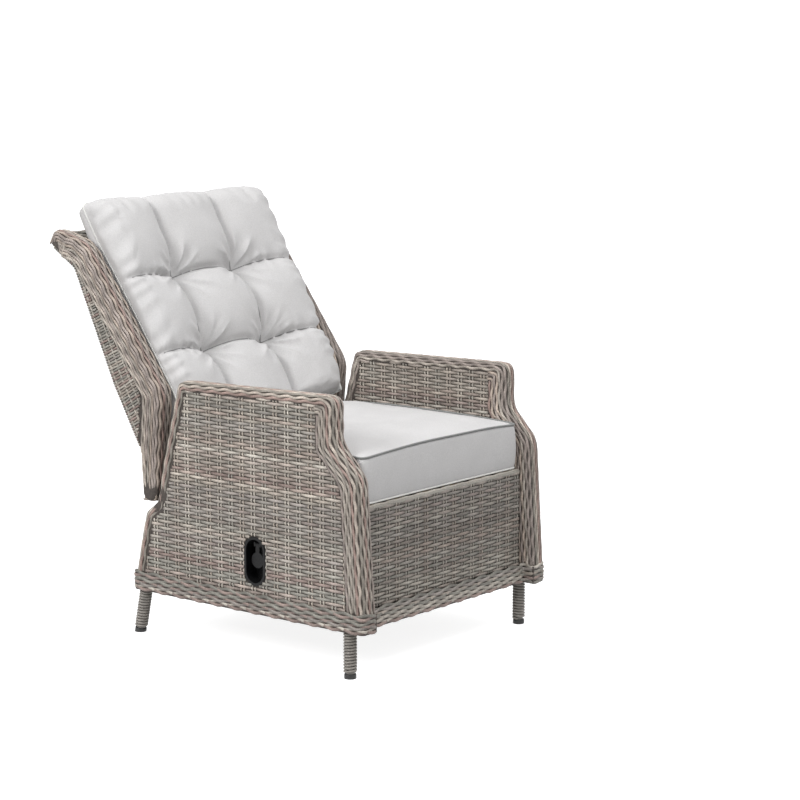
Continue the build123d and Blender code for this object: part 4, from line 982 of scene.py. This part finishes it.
def channel_gaps(x, s):
    """Distance from the nearest upright channel and from the nearest level one."""
    middle = np.where(s < 119, 21.0, 217.0)
    return np.abs(np.abs(x) - channel_line(s)), np.abs(s - middle - channel_arch(x))


def creases(x, s):
    """How close a point is to the sewn channels, 0 to 1, across and up."""
    beside, above = channel_gaps(x, s)
    return 1 - arc_rise(beside, 88), 1 - arc_rise(above, 86)


def front_depth(x, s):
    """Depth of the tufted face."""
    ax = np.abs(x)
    border = arc_rise(HALF - ax, 38) * arc_rise(HIGH - s, 44) * arc_rise(s - LOW, 18)
    side, level = creases(x, s)
    far = np.clip((ax - 105) / 60, 0, 1)
    fade = 1 - 0.62 * np.clip((ax - 150) / 110, 0, 1)
    ends = 1 - 0.4 * np.clip((s - 330) / 90, 0, 1)
    crease = 1 - (1 - 0.47 * ends * side) * (1 - 0.50 * fade * level)
    tuft, folds = np.zeros_like(x), np.zeros_like(x)
    for number, (tx, ts) in enumerate(TUFTS):
        r = np.hypot(x - tx, s - ts)
        angle = np.arctan2(s - ts, x - tx)
        tuft = np.maximum(tuft, np.exp(-((r / 27) ** 1.25)))
        ray = 1 - 2 * np.abs(np.sin(5.5 * angle + 1.7 * number + 0.25 * np.sin(r / 19))) ** 0.7
        ray += 0.7 * (1 - 2 * np.abs(np.sin(4 * angle + number)) ** 0.7)
        folds += 5.2 * ray * np.exp(-(((r - 46) / 34) ** 2))
    crown = np.interp(s, [LOW, 21, 217, HIGH], [132, 127, 113, 92])
    full = border * (1 - crease) * (1 - 0.55 * tuft)
    edge_fold = 4.4 * np.sin(s / 6.1 + 2.4 * np.sin(s / 33) - (HALF - ax) / 14) * np.exp(-(HALF - ax) / 30)
    edge_fold += 3.4 * np.sin(x / 7.1 + 2 * np.sin(x / 37)) * np.exp(-(HIGH - s) / 26)
    seam_fold = 3.6 * np.sin(x / 6.3 + 2 * np.sin(x / 29)) * far * np.exp(-(((level - 0.75) / 0.35) ** 2))
    base = np.minimum(edge_depth(s), np.interp(s, [LOW, HIGH], [60, 27]) + 50 * (1 - arc_rise(HALF - ax, 30)))
    depth = base + (crown - base) * full
    return depth + (folds + seam_fold) * border + edge_fold * np.sqrt(border) + 2.6 * uneven(x, s) * border


def back_cushion():
    """A tufted cushion with sewn channels and a corded border."""
    size = 161
    share = np.linspace(-1, 1, size)
    across = HALF * (0.3 * np.sin(share * pi / 2) + 0.7 * share)
    up = (LOW + HIGH) / 2 + (HIGH - LOW) / 2 * (0.3 * np.sin(share * pi / 2) + 0.7 * share)
    x, s = np.meshgrid(across, up)
    depth = front_depth(x, s)
    rim_out = np.interp(s, [-73, 331], [108, 40])
    clear = np.clip((depth - rim_out - 2) / 16, 0, 1)
    side, level = creases(x, s)
    spread = np.where(x > 0, 26, 7) * clear * np.clip((np.abs(x) - 190) / 80, 0, 1) ** 1.5 * (1 - 0.3 * level)
    spread *= np.clip((s + 130) / 60, 0, 1)
    x_out = x * (1 - 0.01 * np.cos(pi * (s - 144) / 560) ** 2) + np.sign(x) * spread
    rise = 13 * np.clip((s - 340) / 76, 0, 1) ** 1.5 * (1 - 0.35 * side) * arc_rise(HALF - np.abs(x), 50)
    sag = 6 * np.clip((-60 - s) / 76, 0, 1) ** 1.5
    s_out = s + rise - sag
    front = on_back(x_out, s_out, depth)
    rear = on_back(x * 0.985, np.clip(s, LOW + 12, HIGH - 8), 6.3 + 0 * x)
    sheets = [(front, False), (rear, True)]
    steps = np.linspace(0, 1, 9)[:, None, None]
    for pick, axis in ((np.s_[0, :], 1), (np.s_[-1, :], 1), (np.s_[:, 0], 0), (np.s_[:, -1], 0)):
        a, b = front[pick], rear[pick]
        if axis == 0:
            out = np.array([np.sign(a[0, 0]), 0, 0])
        else:
            out = np.array([0, sin(LEAN), cos(LEAN)]) * (1 if pick[0] == -1 else -1)
        sheets.append((a[None] * (1 - steps) + b[None] * steps + out * 4 * np.sin(pi * steps), False))
    piece = grid_mesh("back_cushion_body", sheets)

    def hold(points):
        s_here, t_here = off_back(points)
        weight = np.clip((16 - t_here) / 8, 0, 1)
        for tx, ts in TUFTS:
            near = np.hypot(points[:, 0] - tx, s_here - ts)
            weight = np.maximum(weight, np.clip((18 - near) / 8, 0, 1))
        side_near, level_near = creases(points[:, 0], s_here)
        weight = np.maximum(weight, np.where(t_here > 30, np.maximum(side_near, level_near) ** 1.6, 0))
        rim = (np.abs(points[:, 0]) > 270) & (t_here < edge_depth(s_here) + 6)
        return np.maximum(weight, 0.9 * rim)

    inflate(piece, hold, 5.0, frames=12, voxel=0.0046)
    points = coordinates(piece) / MM
    s_here, t_here = off_back(points)
    gap = np.minimum(*channel_gaps(points[:, 0], s_here))
    cut = 7.5 * np.exp(-((gap / 7.0) ** 2)) * np.clip((t_here - 45) / 20, 0, 1)
    cut *= arc_rise(HALF - np.abs(points[:, 0]), 40) * arc_rise(HIGH - s_here, 30)
    points += cut[:, None] * np.array([0, cos(LEAN), -sin(LEAN)])
    piece.data.vertices.foreach_set("co", (points * MM).ravel())
    piece.data.update()
    dress(piece, cloth, "backrest", "back_cushion")
    line = []
    for pick in (np.s_[0, :], np.s_[:, -1], np.s_[-1, ::-1], np.s_[::-1, 0]):
        line.append(on_back(x_out[pick], s_out[pick], depth[pick] - 0.4)[:-1])
    line = np.concatenate(line)
    tree = BVHTree.FromPolygons([tuple(p) for p in points], [tuple(f.vertices) for f in piece.data.polygons])
    # Dark strips along the channel seams: the seam line plus painted shade of the crease.
    crease_strips = Bundle("back_seam_shade_strips", "backrest")
    outward = np.array([0, -cos(LEAN), sin(LEAN)])
    run_up, run_across = np.arange(LOW + 20, HIGH - 12, 5.0), np.arange(-HALF + 14, HALF - 13, 5.0)
    tracks = [(turn * channel_line(run_up), run_up) for turn in (-1, 1)]
    tracks += [(run_across, level + channel_arch(run_across)) for level in (21, 217)]
    for across_here, up_here in tracks:
        heights = []
        for start in on_back(across_here, up_here, 0 * up_here + 260):
            hit = tree.ray_cast(Vector(start), Vector(-outward))
            heights.append(260 - hit[3] if hit[0] else 60)
        heights = np.convolve(np.pad(heights, 2, "edge"), np.ones(5) / 5, "valid")
        track = on_back(across_here, up_here, heights + 0.9)
        crease_strips.strand(track, np.tile(outward, (len(track), 1)), 2.4, 1.0, section=5, tone=(0.5, 0.5, 0.5))
    crease_strips.build(seam_shade_cloth)
    piping("back_piping", np.r_[line, line[:1]], 2.3, piping_light, "backrest")


back_cushion()

# ---------------------------------------------------------------- floor, light, camera
def glow_material(name, strength, dark, light):
    """A pale matt surface with a little light of its own."""
    material, tree, shader = new_material(name)
    place = tree.nodes.new("ShaderNodeTexCoord")
    noise = node(tree, "ShaderNodeTexNoise", Scale=3.0, Detail=2.0)
    tree.links.new(place.outputs["Object"], noise.inputs["Vector"])
    tree.links.new(ramp(tree, noise.outputs["Fac"], [(0.3, dark), (0.7, light)]), shader.inputs["Base Color"])
    shader.inputs["Roughness"].default_value = 0.95
    shader.inputs["Specular IOR Level"].default_value = 0.0
    shader.inputs["Emission Color"].default_value = (1, 1, 1, 1)
    shader.inputs["Emission Strength"].default_value = strength
    return material


def stage_piece(name, points, faces, material):
    """A piece of the surroundings."""
    mesh = bpy.data.meshes.new(name)
    mesh.from_pydata(points, [], faces)
    piece = bpy.data.objects.new(name, mesh)
    bpy.context.scene.collection.objects.link(piece)
    piece.data.materials.append(material)
    return piece


REACH = 16.0
turns = [2 * pi * index / 48 for index in range(48)]
rim = [(REACH * cos(a), REACH * sin(a), 0) for a in turns]
pale = glow_material("pale_floor", 0.84, (0.5, 0.5, 0.5), (0.52, 0.52, 0.52))
ground = stage_piece("floor", rim, [tuple(range(48))], pale)
ground.visible_diffuse = False
wall = [(REACH * cos(a), REACH * sin(a), z) for z in (-0.5, 14.0) for a in turns]
sides = [(i, (i + 1) % 48, 48 + (i + 1) % 48, 48 + i) for i in range(48)]
white = glow_material("white_backdrop", 1.05, (0.1, 0.1, 0.1), (0.12, 0.12, 0.12))
backdrop = stage_piece("backdrop", wall, sides, white)
backdrop.visible_diffuse = False
backdrop.visible_glossy = False
backdrop.visible_shadow = False


def area_light(name, place, aim, size, power):
    """A square lamp turned to a point."""
    light = bpy.data.lights.new(name, "AREA")
    light.shape, light.size, light.energy = "SQUARE", size, power
    lamp = bpy.data.objects.new(name, light)
    bpy.context.scene.collection.objects.link(lamp)
    lamp.location = place
    lamp.rotation_euler = (Vector(aim) - Vector(place)).to_track_quat("-Z", "Y").to_euler()


area_light("key", (-5.0, 0.6, 3.6), (0, 0, 0.4), 2.0, 175)
area_light("top", (-0.8, -2.6, 4.2), (0, 0, 0.6), 2.0, 85)
world = bpy.data.worlds.new("studio")
bpy.context.scene.world = world
world.use_nodes = True
sky = world.node_tree
heading = sky.nodes.new("ShaderNodeTexCoord")
split = sky.nodes.new("ShaderNodeSeparateXYZ")
sky.links.new(heading.outputs["Generated"], split.inputs[0])
height = node(sky, "ShaderNodeMapRange", From_Min=-1.0, From_Max=1.0, To_Min=0.0, To_Max=1.0)
sky.links.new(split.outputs["Z"], height.inputs["Value"])
shades = [(0.0, (0.34, 0.34, 0.34)), (0.5, (0.5, 0.5, 0.5)), (0.8, (0.9, 0.9, 0.91)), (1.0, (1.0, 1.0, 1.0))]
sky.links.new(ramp(sky, height.outputs["Result"], shades), sky.nodes["Background"].inputs["Color"])
bpy.context.scene.view_settings.view_transform = "Standard"

camera = bpy.data.cameras.new("camera")
camera.lens, camera.sensor_width, camera.clip_end = 112.32, 36, 200
viewer = bpy.data.objects.new("camera", camera)
bpy.context.scene.collection.objects.link(viewer)
viewer.location = (-4.378, -3.8732, 1.503)
viewer.rotation_euler = (radians(90 - 9.39), 0, radians(39.12 - 90))
bpy.context.scene.camera = viewer
